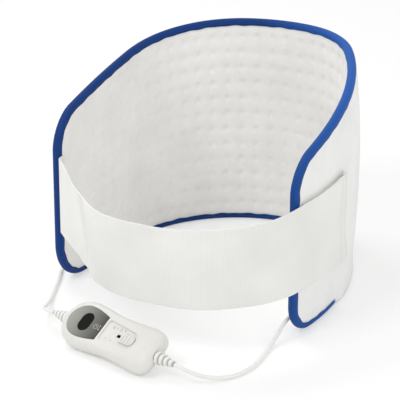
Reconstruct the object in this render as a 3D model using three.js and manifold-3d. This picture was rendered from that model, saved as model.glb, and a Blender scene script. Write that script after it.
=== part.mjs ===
// Waist heating pad with a belt and a hand controller, standing on its lower edge.
// Millimetres, +Z up, -Y towards the viewer, origin at the middle of the footprint without the cords.
import * as THREE from 'three';
import { mergeVertices } from 'three/addons/utils/BufferGeometryUtils.js';
import Module from 'manifold-3d';

const wasm = await Module();
wasm.setup();

// Pad: its plan from the left end round the back to the right end, its heights and its layers.
const PAD_START = [-155.4, 15.7];
const PAD_HEADING = 61;
const PAD_END_FLAT = 32;
const PAD_LEFT_RADIUS = 60;
const PAD_LEFT_STRAIGHT = 106;
const PAD_BACK_RADIUS = 140;
const PAD_RIGHT_RADIUS = 93;
const PAD_FRONT_RADIUS = 290;
const PAD_STRETCHES = [
  { straight: PAD_END_FLAT },
  { radius: PAD_LEFT_RADIUS, turn: -3.5 },
  { straight: PAD_LEFT_STRAIGHT },
  { radius: PAD_BACK_RADIUS, turn: -88.5 },
  { radius: PAD_RIGHT_RADIUS, turn: -53.5 },
  { radius: PAD_FRONT_RADIUS, turn: -39.5 },
  { straight: PAD_END_FLAT },
];
const PAD_HEIGHT_MIDDLE = 238;
const PAD_HEIGHT_ENDS = 184;
const PAD_LEVEL_TOP = 84;
const CORNER_RADIUS = 32;
const CORNER_STEPS = 5;
const QUILT_PITCH = 17;
const QUILT_ROWS = 13;
const QUILT_DOT_DEPTH = 0.6;
const QUILT_CROWN = 0.7;
const QUILT_BORDER = 49;
const GAP = 0.3;
const INNER_COVER = 1.2;
const WIRE_SPACE = 3.0;
const FELT = 0.9;
const OUTER_COVER = 1.8;
const FELT_INSET = 12;
const COVER_INSET = 1.0;
const TAPE = 0.7;
const BINDING_WIDTH = 9;

// Heater inside the pad.
const HEATER_WIRE = 1.8;
const HEATER_RUNS = 4;
const HEATER_LOW = 30;
const HEATER_HIGH_SHARE = 0.84;
const HEATER_END_MARGIN = 60;
const HEATER_RETURN_MARGIN = 30;
const THERMOSTAT = [14, 22];
const SPLICE = [28, 14];
const FLAT_COMPONENT = 2.4;

// Belt: a sewn anchor, a hinge fold, a smooth tab, an elastic strap and the two fastening patches.
const BELT_LOW = 60;
const BELT_WIDTH = 87;
const ANCHOR_FROM = -0.7;
const ANCHOR_LENGTH = 10;
const FOLD_GAP = 0.9;
const TAB_LENGTH = 100;
const TAB_THICK = 1.6;
const STRAP_THICK = 2.0;
const BELT_HEADING = -71.5;
const BELT_LEFT_RADIUS = 82;
const BELT_LEFT_TURN = 47.5;
const BELT_RIGHT_RADIUS = 118;
const BELT_OVERLAP = 106;
const BELT_ARC_STEP = 7.5;
const PATCH_BACK = 12;
const LOOP_PATCH_LENGTH = 100;
const LOOP_PATCH_THICK = 1.0;
const LOOP_PATCH_INSET = 3;
const HOOK_PATCH_LENGTH = 62;
const HOOK_PATCH_THICK = 1.2;
const HOOK_PATCH_MARGIN = 5;

// Controller: its outline (length along X, width across Y), shells, openings and how it lies.
const CASE_LENGTH = 126;
const CASE_HEAD = 53;
const CASE_WAIST = 46;
const CASE_END = 50;
const CASE_HEIGHT = 23;
const CASE_PARTING = 11;
const CASE_WALL = 2;
const CASE_TOP = 2.4;
const CASE_TURN = 43;
const CASE_TILT = 34;
const CASE_PLACE = [-86.5, -141.3];
const SCREW_END = 17;
const SCREW_SHAFT = 2.2;
const SCREW_HEAD = 4.4;
const BOSS = 7.6;
const FASCIA_THICK = 1.4;
const FASCIA_PROUD = 0.1;
const FASCIA_END = 8.5;
const FASCIA_RIGHT = -9;
const FASCIA_WIDE = 36.5;
const FASCIA_NARROW = 28;
const DISPLAY = [14, 21];
const RECESS_LEFT = -6.5;
const RECESS_RIGHT = 37;
const RECESS_WIDE = 25;
const RECESS_NARROW = 20;
const RECESS_ROUND = 9;
const RECESS_CORNER = 3;
const RECESS_DEPTH = 1.4;
const SLIDER_REST = 26.5;
const SLIDER_TRAVEL = 12;
const THUMB = [17, 12, 2.5];
const THUMB_RIBS = 4;
const THUMB_ROUND = 5;
const STEM = [5, 3];
const FOOT = [12, 9, 1.2];
const BOARD_END = 23;
const BOARD = [CASE_LENGTH - 2 * BOARD_END, 34, 1.6];
const BOARD_LOW = 8;
const BOARD_POST = [BOARD[0] / 2 - 10, 13.5];
const CORD = 4.5;
const RELIEF_HOLE = 9;
const RELIEF_FLANGE = [10.4, 2];
const RELIEF_SEAT = 6.5;
const RELIEF_LENGTH = 22;
const RELIEF_RIBS = 4;
const RELIEF_WIDE = 14.4;
const RELIEF_NARROW = 7.6;
const RELIEF_GROOVE = 1.3;
const RELIEF_RIB_SHARE = 0.62;
const RELIEF_RIB_TAPER = 0.3;
const RELIEF_SIDES = 20;
const LEAD_WIRE = 1.5;

// Lead gland on the inner face and the cords, with the mains lead's spare length coiled behind the pad.
const GLAND_END = 26;
const GLAND = [20, 12, 8];
const GLAND_HEIGHT = 19;
const CORD_SIDES = 8;
const COIL_CENTRE = [-115, 181.7];
const COIL_OUTER = 37;
const COIL_PITCH = 5;
const COIL_TURNS = 8;
const COIL_STEPS = 24;
const COIL_SIDES = 6;
const COIL_START = -38;
const TIE_THICK = 0.8;
const TIE_WIDE = 6;
const PLUG_PLACE = [-46.7, 200.9];
const PLUG_TURN = 25;
const PLUG = [35, 26, 13.7];
const PIN = [4, 19, 19];

const { degToRad, lerp, clamp } = THREE.MathUtils;

// Solids from lists of points.

class Facets {
  points = [];
  faces = [];

  vertex(point) {
    this.points.push(point.x, point.y, point.z);
    return this.points.length / 3 - 1;
  }

  polygon(...corners) {
    for (let k = 1; k + 1 < corners.length; k += 1) {
      this.faces.push(corners[0], corners[k], corners[k + 1]);
    }
  }

  geometry() {
    const geometry = new THREE.BufferGeometry();
    geometry.setAttribute('position', new THREE.Float32BufferAttribute(this.points, 3));
    geometry.setIndex(this.faces);
    return closed(geometry);
  }
}

// One closed surface with shared corners and its faces pointing out.
function closed(geometry) {
  geometry.deleteAttribute('normal');
  geometry.deleteAttribute('uv');
  const merged = mergeVertices(geometry, 1e-4);
  const corner = [new THREE.Vector3(), new THREE.Vector3(), new THREE.Vector3()];
  const faces = merged.index.array;
  let volume = 0;
  for (let k = 0; k < faces.length; k += 3) {
    corner.forEach((point, m) => point.fromBufferAttribute(merged.attributes.position, faces[k + m]));
    volume += corner[0].dot(corner[1].clone().cross(corner[2]));
  }
  if (volume < 0) {
    for (let k = 0; k < faces.length; k += 3) {
      [faces[k], faces[k + 1]] = [faces[k + 1], faces[k]];
    }
  }
  return merged;
}

// Skin through rings of equal count, closed at both ends or running back into its first ring.
function loft(rings, loop = false) {
  const facets = new Facets();
  const rows = rings.map((ring) => ring.map((point) => facets.vertex(point)));
  const count = rings[0].length;
  const last = loop ? rows.length : rows.length - 1;
  for (let i = 0; i < last; i += 1) {
    const from = rows[i];
    const to = rows[(i + 1) % rows.length];
    for (let k = 0; k < count; k += 1) {
      const next = (k + 1) % count;
      facets.polygon(from[k], from[next], to[next], to[k]);
    }
  }
  if (!loop) {
    const middles = [rings[0], rings[rings.length - 1]].map((ring) => {
      const middle = ring.reduce((sum, point) => sum.add(point), new THREE.Vector3());
      return facets.vertex(middle.divideScalar(count));
    });
    for (let k = 0; k < count; k += 1) {
      const next = (k + 1) % count;
      facets.polygon(middles[0], rows[0][next], rows[0][k]);
      facets.polygon(middles[1], rows[rows.length - 1][k], rows[rows.length - 1][next]);
    }
  }
  return facets.geometry();
}

// Tube whose rings stand square to the line of centres and don't twist along it.
function ringTube(centres, radius, sides) {
  const tangents = centres.map((centre, i) => {
    const before = centres[Math.max(i - 1, 0)];
    const after = centres[Math.min(i + 1, centres.length - 1)];
    return after.clone().sub(before).normalize();
  });
  const up = Math.abs(tangents[0].z) > 0.9 ? new THREE.Vector3(1, 0, 0) : new THREE.Vector3(0, 0, 1);
  let side = up.clone().cross(tangents[0]).normalize();
  const rings = centres.map((centre, i) => {
    side = side.clone().addScaledVector(tangents[i], -side.dot(tangents[i])).normalize();
    const top = tangents[i].clone().cross(side);
    return Array.from({ length: sides }, (_, k) => {
      const angle = (2 * Math.PI * k) / sides;
      const reach = centre.clone().addScaledVector(side, radius * Math.cos(angle));
      return reach.addScaledVector(top, radius * Math.sin(angle));
    });
  });
  return loft(rings);
}

// Joining and cutting of closed geometries.

function toSolid(geometry) {
  const clean = closed(geometry.clone());
  const mesh = new wasm.Mesh({
    numProp: 3,
    vertProperties: new Float32Array(clean.attributes.position.array),
    triVerts: new Uint32Array(clean.index.array),
  });
  return new wasm.Manifold(mesh);
}

function fromSolid(solid) {
  const mesh = solid.getMesh();
  const geometry = new THREE.BufferGeometry();
  geometry.setAttribute('position', new THREE.Float32BufferAttribute(mesh.vertProperties, 3));
  geometry.setIndex(Array.from(mesh.triVerts));
  return geometry;
}

function joined(base, additions, cuts = []) {
  let solid = toSolid(base);
  for (const addition of additions) {
    solid = solid.add(toSolid(addition));
  }
  for (const cut of cuts) {
    solid = solid.subtract(toSolid(cut));
  }
  return fromSolid(solid);
}

// Plan curves and upright walls that follow them.

function stepAlong(pose, curvature, length) {
  const { x, y, heading } = pose;
  if (curvature === 0) {
    return { x: x + length * Math.cos(heading), y: y + length * Math.sin(heading), heading };
  }
  const turned = heading + curvature * length;
  return {
    x: x + (Math.sin(turned) - Math.sin(heading)) / curvature,
    y: y - (Math.cos(turned) - Math.cos(heading)) / curvature,
    heading: turned,
  };
}

function planCurve(start, headingDegrees, stretches) {
  let pose = { x: start[0], y: start[1], heading: degToRad(headingDegrees) };
  let length = 0;
  const pieces = stretches.map((stretch) => {
    const arc = stretch.radius !== undefined;
    const curvature = arc ? Math.sign(stretch.turn) / stretch.radius : 0;
    const span = arc ? stretch.radius * Math.abs(degToRad(stretch.turn)) : stretch.straight;
    const piece = { from: length, pose, curvature, span };
    pose = stepAlong(pose, curvature, span);
    length += span;
    return piece;
  });
  const at = (s) => {
    const piece = pieces.findLast((candidate) => candidate.from <= s) ?? pieces[0];
    return stepAlong(piece.pose, piece.curvature, s - piece.from);
  };
  return { length, at, pieces, end: pose };
}

// A column stands on the curve; its normal points to the left of the heading.
function columnOn(curve, s) {
  const { x, y, heading } = curve.at(s);
  return { s, x, y, nx: -Math.sin(heading), ny: Math.cos(heading) };
}

// Place on the flat facets between columns: along, up and out from the middle of the wall.
function wall(columns) {
  return (s, z, offset) => {
    const found = columns.findIndex((column) => column.s >= s);
    const k = clamp(found < 0 ? columns.length - 1 : found, 1, columns.length - 1);
    const from = columns[k - 1];
    const to = columns[k];
    const share = (s - from.s) / (to.s - from.s);
    const x = lerp(from.x, to.x, share) + offset * lerp(from.nx, to.nx, share);
    const y = lerp(from.y, to.y, share) + offset * lerp(from.ny, to.ny, share);
    return new THREE.Vector3(x, y, z);
  };
}

// Sheet on a wall from its back to its front offset; the front may hold rows, sewn dots and crowns.
function sheet(place, columns, low, high, back, front, quilt = null) {
  const facets = new Facets();
  const rows = quilt ? quilt.rows : 1;
  const at = (s, share, offset) => place(s, lerp(low(s), high(s), share), offset);
  const near = columns.map((s, i) => Array.from({ length: rows + 1 }, (_, j) => {
    const dot = quilt && quilt.dotted(i, j) ? quilt.dot : 0;
    return facets.vertex(at(s, j / rows, front + dot));
  }));
  const far = columns.map((s) => [facets.vertex(at(s, 0, back)), facets.vertex(at(s, 1, back))]);
  const last = columns.length - 1;
  for (let i = 0; i < last; i += 1) {
    for (let j = 0; j < rows; j += 1) {
      const cell = [near[i][j], near[i + 1][j], near[i + 1][j + 1], near[i][j + 1]];
      if (quilt && quilt.crowned(i, j)) {
        const middle = at((columns[i] + columns[i + 1]) / 2, (j + 0.5) / rows, front + quilt.crown);
        const peak = facets.vertex(middle);
        cell.forEach((corner, k) => facets.polygon(corner, cell[(k + 1) % 4], peak));
      } else {
        facets.polygon(...cell);
      }
    }
    facets.polygon(far[i][0], far[i][1], far[i + 1][1], far[i + 1][0]);
    facets.polygon(near[i + 1][0], near[i][0], far[i][0], far[i + 1][0]);
    facets.polygon(near[i][rows], near[i + 1][rows], far[i + 1][1], far[i][1]);
  }
  facets.polygon(far[0][0], ...near[0], far[0][1]);
  facets.polygon(far[last][0], far[last][1], ...near[last].toReversed());
  return facets.geometry();
}

// Flat-sided patch on a wall between two places along it and two heights.
function patch(place, columns, from, to, low, high, back, front) {
  const inside = columns.map((column) => column.s).filter((s) => s > from + GAP && s < to - GAP);
  return sheet(place, [from, ...inside, to], () => low, () => high, back, front);
}

function finish(colour, roughness, metalness = 0) {
  return new THREE.MeshStandardMaterial({ color: colour, roughness, metalness });
}

const CLOTH_INNER = finish(0xd8d8d4, 0.95);
const CLOTH_OUTER = finish(0xe8e8e6, 0.95);
const CLOTH_BELT = finish(0xedeeec, 0.95);
const TAPE_BLUE = finish(0x1f3a80, 0.85);
const FELT_GREY = finish(0xb8b8b0, 1.0);
const WIRE_RED = finish(0xa84a3a, 0.6);
const PLASTIC_WHITE = finish(0xe8e8e2, 0.35);
const PLASTIC_GREY = finish(0x7c7d80, 0.4);
const PLASTIC_DARK = finish(0x2a2a2c, 0.45);
const LENS_BLACK = finish(0x1c1a16, 0.08);
const BOARD_GREEN = finish(0x2c5f3c, 0.5);
const CORD_WHITE = finish(0xeeeeea, 0.5);
const STEEL = finish(0xb9bcc0, 0.3, 1.0);
const WIRE_BROWN = finish(0x6a4a34, 0.5);
const WIRE_BLUE = finish(0x35568f, 0.5);

const product = new THREE.Group();
const cords = new THREE.Group();

function piece(parent, name, geometry, material) {
  const mesh = new THREE.Mesh(geometry, material);
  mesh.name = name;
  parent.add(mesh);
  return mesh;
}

// Pad

const padCurve = planCurve(PAD_START, PAD_HEADING, PAD_STRETCHES);
const padLength = padCurve.length;
const quiltSteps = Math.round((padLength - 2 * PAD_END_FLAT) / QUILT_PITCH);
const quiltStep = (padLength - 2 * PAD_END_FLAT) / quiltSteps;
const bendPlaces = Array.from({ length: quiltSteps + 1 }, (_, k) => PAD_END_FLAT + k * quiltStep);
const padColumns = [0, ...bendPlaces, padLength].map((s) => columnOn(padCurve, s));
const onPadMiddle = wall(padColumns);
const onPad = (s, z, offset) => onPadMiddle(s, z + TAPE, offset);

const feltInner = (WIRE_SPACE + INNER_COVER - FELT - GAP - OUTER_COVER) / 2;
const outerBack = feltInner + FELT + GAP;
const outerFace = outerBack + OUTER_COVER;
const innerBack = feltInner - WIRE_SPACE;
const innerFace = innerBack - INNER_COVER;
const bindingFace = outerFace + GAP + TAPE;

function archHeight(s) {
  const fromMiddle = Math.abs(s - padLength / 2);
  const level = PAD_LEVEL_TOP / 2;
  const fall = Math.max(0, (fromMiddle - level) / (padLength / 2 - level));
  return PAD_HEIGHT_MIDDLE - (PAD_HEIGHT_MIDDLE - PAD_HEIGHT_ENDS) * fall ** 2;
}

function cornerDrop(s, inset) {
  const reach = CORNER_RADIUS - Math.min(s, padLength - s);
  if (reach <= 0) {
    return 0;
  }
  const radius = CORNER_RADIUS - inset;
  return radius - Math.sqrt(Math.max(0, radius ** 2 - reach ** 2));
}

const topEdge = (s, inset) => archHeight(s) - inset - cornerDrop(s, inset);
const bottomEdge = (s, inset) => inset + cornerDrop(s, inset);

const cornerAngles = Array.from({ length: CORNER_STEPS }, (_, k) => ((k + 1) * Math.PI) / 2 / CORNER_STEPS);

function outlineColumns(inset) {
  const radius = CORNER_RADIUS - inset;
  const left = [0, ...cornerAngles].map((angle) => inset + radius * (1 - Math.cos(angle)));
  const right = left.map((s) => padLength - s).reverse();
  const middle = bendPlaces.filter((s) => s > CORNER_RADIUS + 1 && s < padLength - CORNER_RADIUS - 1);
  return [...left, ...middle, ...right];
}

function padSheet(inset, back, front, quilt = null) {
  const low = (s) => bottomEdge(s, inset);
  const high = (s) => topEdge(s, inset);
  return sheet(onPad, outlineColumns(inset), low, high, back, front, quilt);
}

function innerCover() {
  const columns = outlineColumns(COVER_INSET);
  const inField = (i) => columns[i] > QUILT_BORDER && columns[i] < padLength - QUILT_BORDER;
  return padSheet(COVER_INSET, innerBack, innerFace, {
    rows: QUILT_ROWS,
    dot: QUILT_DOT_DEPTH,
    crown: -QUILT_CROWN,
    dotted: (i, j) => inField(i) && j > 0 && j < QUILT_ROWS,
    crowned: (i, j) => inField(i) && inField(i + 1) && j > 0 && j < QUILT_ROWS - 1,
  });
}

// The binding's folded tape, carried round the outline by one ring at each place.
function bindingRings() {
  const inside = outerFace + GAP;
  const section = [
    [-bindingFace, BINDING_WIDTH], [-bindingFace, -TAPE], [bindingFace, -TAPE], [bindingFace, BINDING_WIDTH],
    [inside, BINDING_WIDTH], [inside, 0], [-inside, 0], [-inside, BINDING_WIDTH],
  ];
  const swing = [0, ...cornerAngles];
  const nearEnd = (inset, angle) => CORNER_RADIUS - (CORNER_RADIUS - inset) * Math.cos(angle);
  const rise = (inset, angle) => CORNER_RADIUS - (CORNER_RADIUS - inset) * Math.sin(angle);
  const level = bendPlaces.filter((s) => s > CORNER_RADIUS + 1 && s < padLength - CORNER_RADIUS - 1);
  const place = [];
  swing.forEach((angle) => place.push((inset) => [nearEnd(inset, angle), rise(inset, angle)]));
  level.forEach((s) => place.push((inset) => [s, inset]));
  swing.toReversed().forEach((angle) => {
    place.push((inset) => [padLength - nearEnd(inset, angle), rise(inset, angle)]);
  });
  const upper = (s, inset, angle) => [s, archHeight(s) - rise(inset, angle)];
  swing.forEach((angle) => place.push((inset) => upper(padLength - nearEnd(inset, angle), inset, angle)));
  level.toReversed().forEach((s) => place.push((inset) => [s, archHeight(s) - inset]));
  swing.toReversed().forEach((angle) => place.push((inset) => upper(nearEnd(inset, angle), inset, angle)));
  return place.map((ray) => section.map(([offset, inset]) => {
    const [s, z] = ray(inset);
    return onPad(s, z, offset);
  }));
}

piece(product, 'inner_cover', innerCover(), CLOTH_INNER);
piece(product, 'outer_cover', padSheet(COVER_INSET, outerBack, outerFace), CLOTH_OUTER);
piece(product, 'heater_felt', padSheet(FELT_INSET, feltInner, feltInner + FELT), FELT_GREY);
piece(product, 'edge_binding', loft(bindingRings(), true), TAPE_BLUE);

// Heater: lengthwise runs joined by round turns, with a thermostat half way and a splice at the lead.
function heater() {
  const offset = feltInner - GAP - HEATER_WIRE / 2;
  const leftEnd = PAD_END_FLAT + quiltStep;
  const rightEnd = padLength - HEATER_END_MARGIN;
  const share = (run) => run / (HEATER_RUNS - 1);
  const height = (s, run) => lerp(HEATER_LOW, HEATER_HIGH_SHARE * archHeight(s), share(run));
  const runPlaces = [leftEnd, ...bendPlaces.filter((s) => s > leftEnd + 1 && s < rightEnd - 1), rightEnd];
  const runPoints = (run) => runPlaces.map((s) => onPad(s, height(s, run), offset));
  const leftTurn = (run) => {
    const low = height(leftEnd, run);
    const high = height(leftEnd, run + 1);
    const middle = (low + high) / 2;
    return [-45, 0, 45].map((degrees) => {
      const reach = PAD_END_FLAT / 2 * Math.cos(degToRad(degrees));
      return onPad(leftEnd - reach, middle + ((high - low) / 2) * Math.sin(degToRad(degrees)), offset);
    });
  };
  const [thermostatLong, thermostatTall] = THERMOSTAT;
  const [spliceLong, spliceTall] = SPLICE;
  const thermostatPlace = rightEnd + THERMOSTAT[0];
  const thermostatMiddle = (height(rightEnd, 1) + height(rightEnd, 2)) / 2;
  const thermostatReach = thermostatTall / 2 + GAP;
  const returnPlace = padLength - HEATER_RETURN_MARGIN;
  const spliceRight = returnPlace + spliceTall / 2;
  const spliceLeft = spliceRight - spliceLong;
  const spliceTop = HEATER_LOW + spliceTall / 2;
  const bend = thermostatLong / 2;
  const first = [
    onPad(spliceLeft - GAP, HEATER_LOW, offset),
    ...runPoints(0).toReversed(),
    ...leftTurn(0),
    ...runPoints(1),
    onPad(thermostatPlace - bend / 2, height(rightEnd, 1) + bend / 3, offset),
    onPad(thermostatPlace, height(rightEnd, 1) + bend, offset),
    onPad(thermostatPlace, thermostatMiddle - thermostatReach, offset),
  ];
  const second = [
    onPad(thermostatPlace, thermostatMiddle + thermostatReach, offset),
    onPad(thermostatPlace, height(rightEnd, 2) - bend, offset),
    onPad(thermostatPlace - bend / 2, height(rightEnd, 2) - bend / 3, offset),
    ...runPoints(2).toReversed(),
    ...leftTurn(2),
    ...runPoints(3),
    onPad(returnPlace - bend, height(rightEnd, 3) - bend / 2, offset),
    onPad(returnPlace, height(rightEnd, 3) - 2 * bend, offset),
    onPad(returnPlace, spliceTop + GAP, offset),
  ];
  const block = (from, to, low, high) => {
    const back = feltInner - GAP;
    return patch(onPad, padColumns, from, to, low, high, back, back - FLAT_COMPONENT);
  };
  const sides = 4;
  piece(product, 'heating_wire_1', ringTube(first, HEATER_WIRE / 2, sides), WIRE_RED);
  piece(product, 'heating_wire_2', ringTube(second, HEATER_WIRE / 2, sides), WIRE_RED);
  const half = thermostatLong / 2;
  const thermostat = block(thermostatPlace - half, thermostatPlace + half,
    thermostatMiddle - thermostatTall / 2, thermostatMiddle + thermostatTall / 2);
  piece(product, 'thermostat', thermostat, PLASTIC_DARK);
  const splice = block(spliceLeft, spliceRight, HEATER_LOW - spliceTall / 2, spliceTop);
  piece(product, 'splice_block', splice, PLASTIC_WHITE);
}

heater();

// Belt

const foldOffset = -bindingFace - GAP - TAB_THICK / 2;
const fold = onPad(ANCHOR_FROM - FOLD_GAP, 0, foldOffset);
const beltHigh = BELT_LOW + BELT_WIDTH;
const loopFace = outerFace + GAP + LOOP_PATCH_THICK;
const strapOnPad = loopFace + GAP + HOOK_PATCH_THICK + GAP + STRAP_THICK / 2;

// The two straight stretches of the belt are set so that it arrives on the pad's right end in line with it.
function beltCurve() {
  const arrival = onPad(padLength, 0, strapOnPad);
  const arrivalHeading = THREE.MathUtils.radToDeg(padCurve.end.heading) + 180;
  const rightTurn = arrivalHeading - BELT_HEADING - BELT_LEFT_TURN;
  const bends = (first, second) => planCurve([fold.x, fold.y], BELT_HEADING, [
    { straight: first },
    { radius: BELT_LEFT_RADIUS, turn: BELT_LEFT_TURN },
    { straight: second },
    { radius: BELT_RIGHT_RADIUS, turn: rightTurn },
  ]);
  const bare = bends(0, 0).end;
  const one = degToRad(BELT_HEADING);
  const two = degToRad(BELT_HEADING + BELT_LEFT_TURN);
  const dx = arrival.x - bare.x;
  const dy = arrival.y - bare.y;
  const spread = Math.sin(two - one);
  const first = (dx * Math.sin(two) - dy * Math.cos(two)) / spread;
  const second = (dy * Math.cos(one) - dx * Math.sin(one)) / spread;
  return bends(first, second);
}

function beltColumns() {
  const curve = beltCurve();
  const places = new Set([FOLD_GAP, TAB_LENGTH]);
  curve.pieces.forEach(({ from, span, curvature }) => {
    const steps = Math.max(1, Math.round(Math.abs(curvature * span) / degToRad(BELT_ARC_STEP)));
    for (let k = 0; k < steps; k += 1) {
      places.add(Math.max(from + (span * k) / steps, FOLD_GAP));
    }
  });
  const free = [...places].sort((a, b) => a - b).map((s) => columnOn(curve, s));
  const onEnd = [padLength, ...bendPlaces.toReversed(), 0]
    .filter((s) => s > padLength - BELT_OVERLAP)
    .concat(padLength - BELT_OVERLAP)
    .map((s) => {
      const middle = onPad(s, 0, 0);
      const reach = onPad(s, 0, 1).sub(middle);
      const x = middle.x + strapOnPad * reach.x;
      const y = middle.y + strapOnPad * reach.y;
      return { s: curve.length + padLength - s, x, y, nx: -reach.x, ny: -reach.y };
    });
  return [...free, ...onEnd];
}

const strapColumns = beltColumns();
const onBelt = wall(strapColumns);
const beltEnd = strapColumns[strapColumns.length - 1].s;

function beltPiece(from, to, back, front, margin = 0) {
  return patch(onBelt, strapColumns, from, to, BELT_LOW + margin, beltHigh - margin, back, front);
}

const anchor = patch(onPad, padColumns, ANCHOR_FROM, ANCHOR_FROM + ANCHOR_LENGTH,
  BELT_LOW - TAPE, beltHigh - TAPE, foldOffset + TAB_THICK / 2, foldOffset - TAB_THICK / 2);
piece(product, 'belt_anchor', anchor, CLOTH_BELT);
piece(product, 'belt_tab', beltPiece(FOLD_GAP, TAB_LENGTH, -TAB_THICK / 2, TAB_THICK / 2), CLOTH_BELT);
const strap = beltPiece(TAB_LENGTH + GAP, beltEnd, -STRAP_THICK / 2, STRAP_THICK / 2);
piece(product, 'belt_strap', strap, CLOTH_BELT);

const hookBack = STRAP_THICK / 2 + GAP;
const hookEnd = beltEnd - HOOK_PATCH_MARGIN;
const hook = beltPiece(hookEnd - HOOK_PATCH_LENGTH, hookEnd, hookBack, hookBack + HOOK_PATCH_THICK,
  HOOK_PATCH_MARGIN);
piece(product, 'hook_patch', hook, CLOTH_BELT);
const loopEnd = padLength - PATCH_BACK;
const loops = patch(onPad, padColumns, loopEnd - LOOP_PATCH_LENGTH, loopEnd,
  BELT_LOW + LOOP_PATCH_INSET, beltHigh - LOOP_PATCH_INSET, outerFace + GAP, loopFace);
piece(product, 'loop_patch', loops, CLOTH_OUTER);

// Controller

const controller = new THREE.Group();
const halfLength = CASE_LENGTH / 2;
const screwPlace = halfLength - SCREW_END;
const fasciaLeft = FASCIA_END - halfLength;
const displayPlace = (fasciaLeft + FASCIA_RIGHT) / 2;
const caseTopInside = CASE_HEIGHT - CASE_TOP;
const upperLow = CASE_PARTING + GAP;

function box(x0, x1, y0, y1, z0, z1) {
  const geometry = new THREE.BoxGeometry(x1 - x0, y1 - y0, z1 - z0);
  return geometry.translate((x0 + x1) / 2, (y0 + y1) / 2, (z0 + z1) / 2);
}

function post(x, y, z0, z1, diameter, sides = 16) {
  const geometry = new THREE.CylinderGeometry(diameter / 2, diameter / 2, z1 - z0, sides);
  return geometry.rotateX(Math.PI / 2).translate(x, y, (z0 + z1) / 2);
}

function plate(shape, z0, z1, segments = 8) {
  const geometry = new THREE.ExtrudeGeometry(shape, { depth: z1 - z0, bevelEnabled: false, curveSegments: segments });
  return geometry.translate(0, 0, z0);
}

// Outline with a round head, a slight waist and a squarer far end.
function caseOutline() {
  const head = CASE_HEAD / 2;
  const waist = CASE_WAIST / 2;
  const end = CASE_END / 2;
  const flat = end / 2;
  const shape = new THREE.Shape();
  shape.moveTo(-halfLength, 0);
  shape.bezierCurveTo(-halfLength, -15, 11 - halfLength, -head, 27 - halfLength, -head);
  shape.bezierCurveTo(-18, -head, -8, -waist, 8, -waist);
  shape.bezierCurveTo(24, -waist, halfLength - 27, -end, halfLength - 13, -end);
  shape.bezierCurveTo(halfLength - 5, -end, halfLength, -20, halfLength, -flat);
  const lower = shape.getPoints(5);
  const upper = lower.slice(1).reverse().map((point) => new THREE.Vector2(point.x, -point.y));
  return [...lower, ...upper];
}

const outline = caseOutline();

function caseRing(z, inset) {
  const along = 1 - inset / halfLength;
  const across = 1 - inset / (CASE_HEAD / 2);
  return outline.map((point) => new THREE.Vector3(point.x * along, point.y * across, z));
}

const rings = (list) => list.map(([z, inset]) => caseRing(z, inset));

function reliefHole(side) {
  const hole = new THREE.CylinderGeometry(RELIEF_HOLE / 2, RELIEF_HOLE / 2, 2 * RELIEF_SEAT, 16);
  return hole.rotateZ(Math.PI / 2).translate(side * halfLength, 0, CASE_PARTING + GAP / 2);
}

const screwHole = SCREW_SHAFT + 2 * GAP;
const screwTip = CASE_HEIGHT - 6;
const headSeat = 3.1;

function lowerShell() {
  const outer = rings([[0, 13], [1.2, 8], [3.5, 4], [7, 1.2], [CASE_PARTING, 0]]);
  const inner = rings([[CASE_PARTING, CASE_WALL], [8, 3.2], [5.5, 6], [3.5, 9.5], [CASE_WALL, 14]]);
  const additions = [];
  const cuts = [reliefHole(-1), reliefHole(1)];
  for (const side of [-1, 1]) {
    const x = side * screwPlace;
    additions.push(post(x, 0, CASE_WALL / 2, CASE_PARTING - 0.5, BOSS));
    cuts.push(post(x, 0, -1, CASE_PARTING + 1, screwHole), post(x, 0, -1, headSeat, SCREW_HEAD + 2 * GAP));
    for (const across of [-1, 1]) {
      const y = across * BOARD_POST[1];
      additions.push(post(side * BOARD_POST[0], y, CASE_WALL / 2, BOARD_LOW - GAP, 5, 12));
    }
    cuts.push(post(side * BOARD_POST[0], -side * BOARD_POST[1], CASE_WALL + 1, BOARD_LOW + 1, screwHole, 12));
  }
  return joined(loft([...outer, ...inner]), additions, cuts);
}

// D-shaped outline of the fascia, widened evenly by a margin.
function fasciaShape(margin) {
  const left = fasciaLeft - margin;
  const right = FASCIA_RIGHT + margin;
  const wide = FASCIA_WIDE / 2 + margin;
  const narrow = FASCIA_NARROW / 2 + margin;
  const widest = lerp(left, right, 0.45);
  const shape = new THREE.Shape();
  shape.moveTo(right, -narrow);
  shape.lineTo(right, narrow);
  shape.bezierCurveTo(right - 8, narrow + 2, widest + 9, wide, widest, wide);
  shape.bezierCurveTo(widest - 13, wide, left, 9, left, 0);
  shape.bezierCurveTo(left, -9, widest - 13, -wide, widest, -wide);
  shape.bezierCurveTo(widest + 9, -wide, right - 8, -narrow - 2, right, -narrow);
  return shape;
}

function stadium(margin) {
  const radius = DISPLAY[0] / 2 + margin;
  const reach = DISPLAY[1] / 2 - DISPLAY[0] / 2;
  const shape = new THREE.Shape();
  shape.absarc(displayPlace, reach, radius, 0, Math.PI, false);
  shape.absarc(displayPlace, -reach, radius, Math.PI, 2 * Math.PI, false);
  return shape;
}

function recessShape() {
  const wide = RECESS_WIDE / 2;
  const narrow = RECESS_NARROW / 2;
  const round = RECESS_ROUND;
  const corner = RECESS_CORNER;
  const shape = new THREE.Shape();
  shape.moveTo(RECESS_LEFT + corner, -wide);
  shape.lineTo(RECESS_RIGHT - round, -narrow);
  shape.quadraticCurveTo(RECESS_RIGHT, -narrow, RECESS_RIGHT, round - narrow);
  shape.lineTo(RECESS_RIGHT, narrow - round);
  shape.quadraticCurveTo(RECESS_RIGHT, narrow, RECESS_RIGHT - round, narrow);
  shape.lineTo(RECESS_LEFT + corner, wide);
  shape.quadraticCurveTo(RECESS_LEFT, wide, RECESS_LEFT, wide - corner);
  shape.lineTo(RECESS_LEFT, corner - wide);
  shape.quadraticCurveTo(RECESS_LEFT, -wide, RECESS_LEFT + corner, -wide);
  return shape;
}

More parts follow.
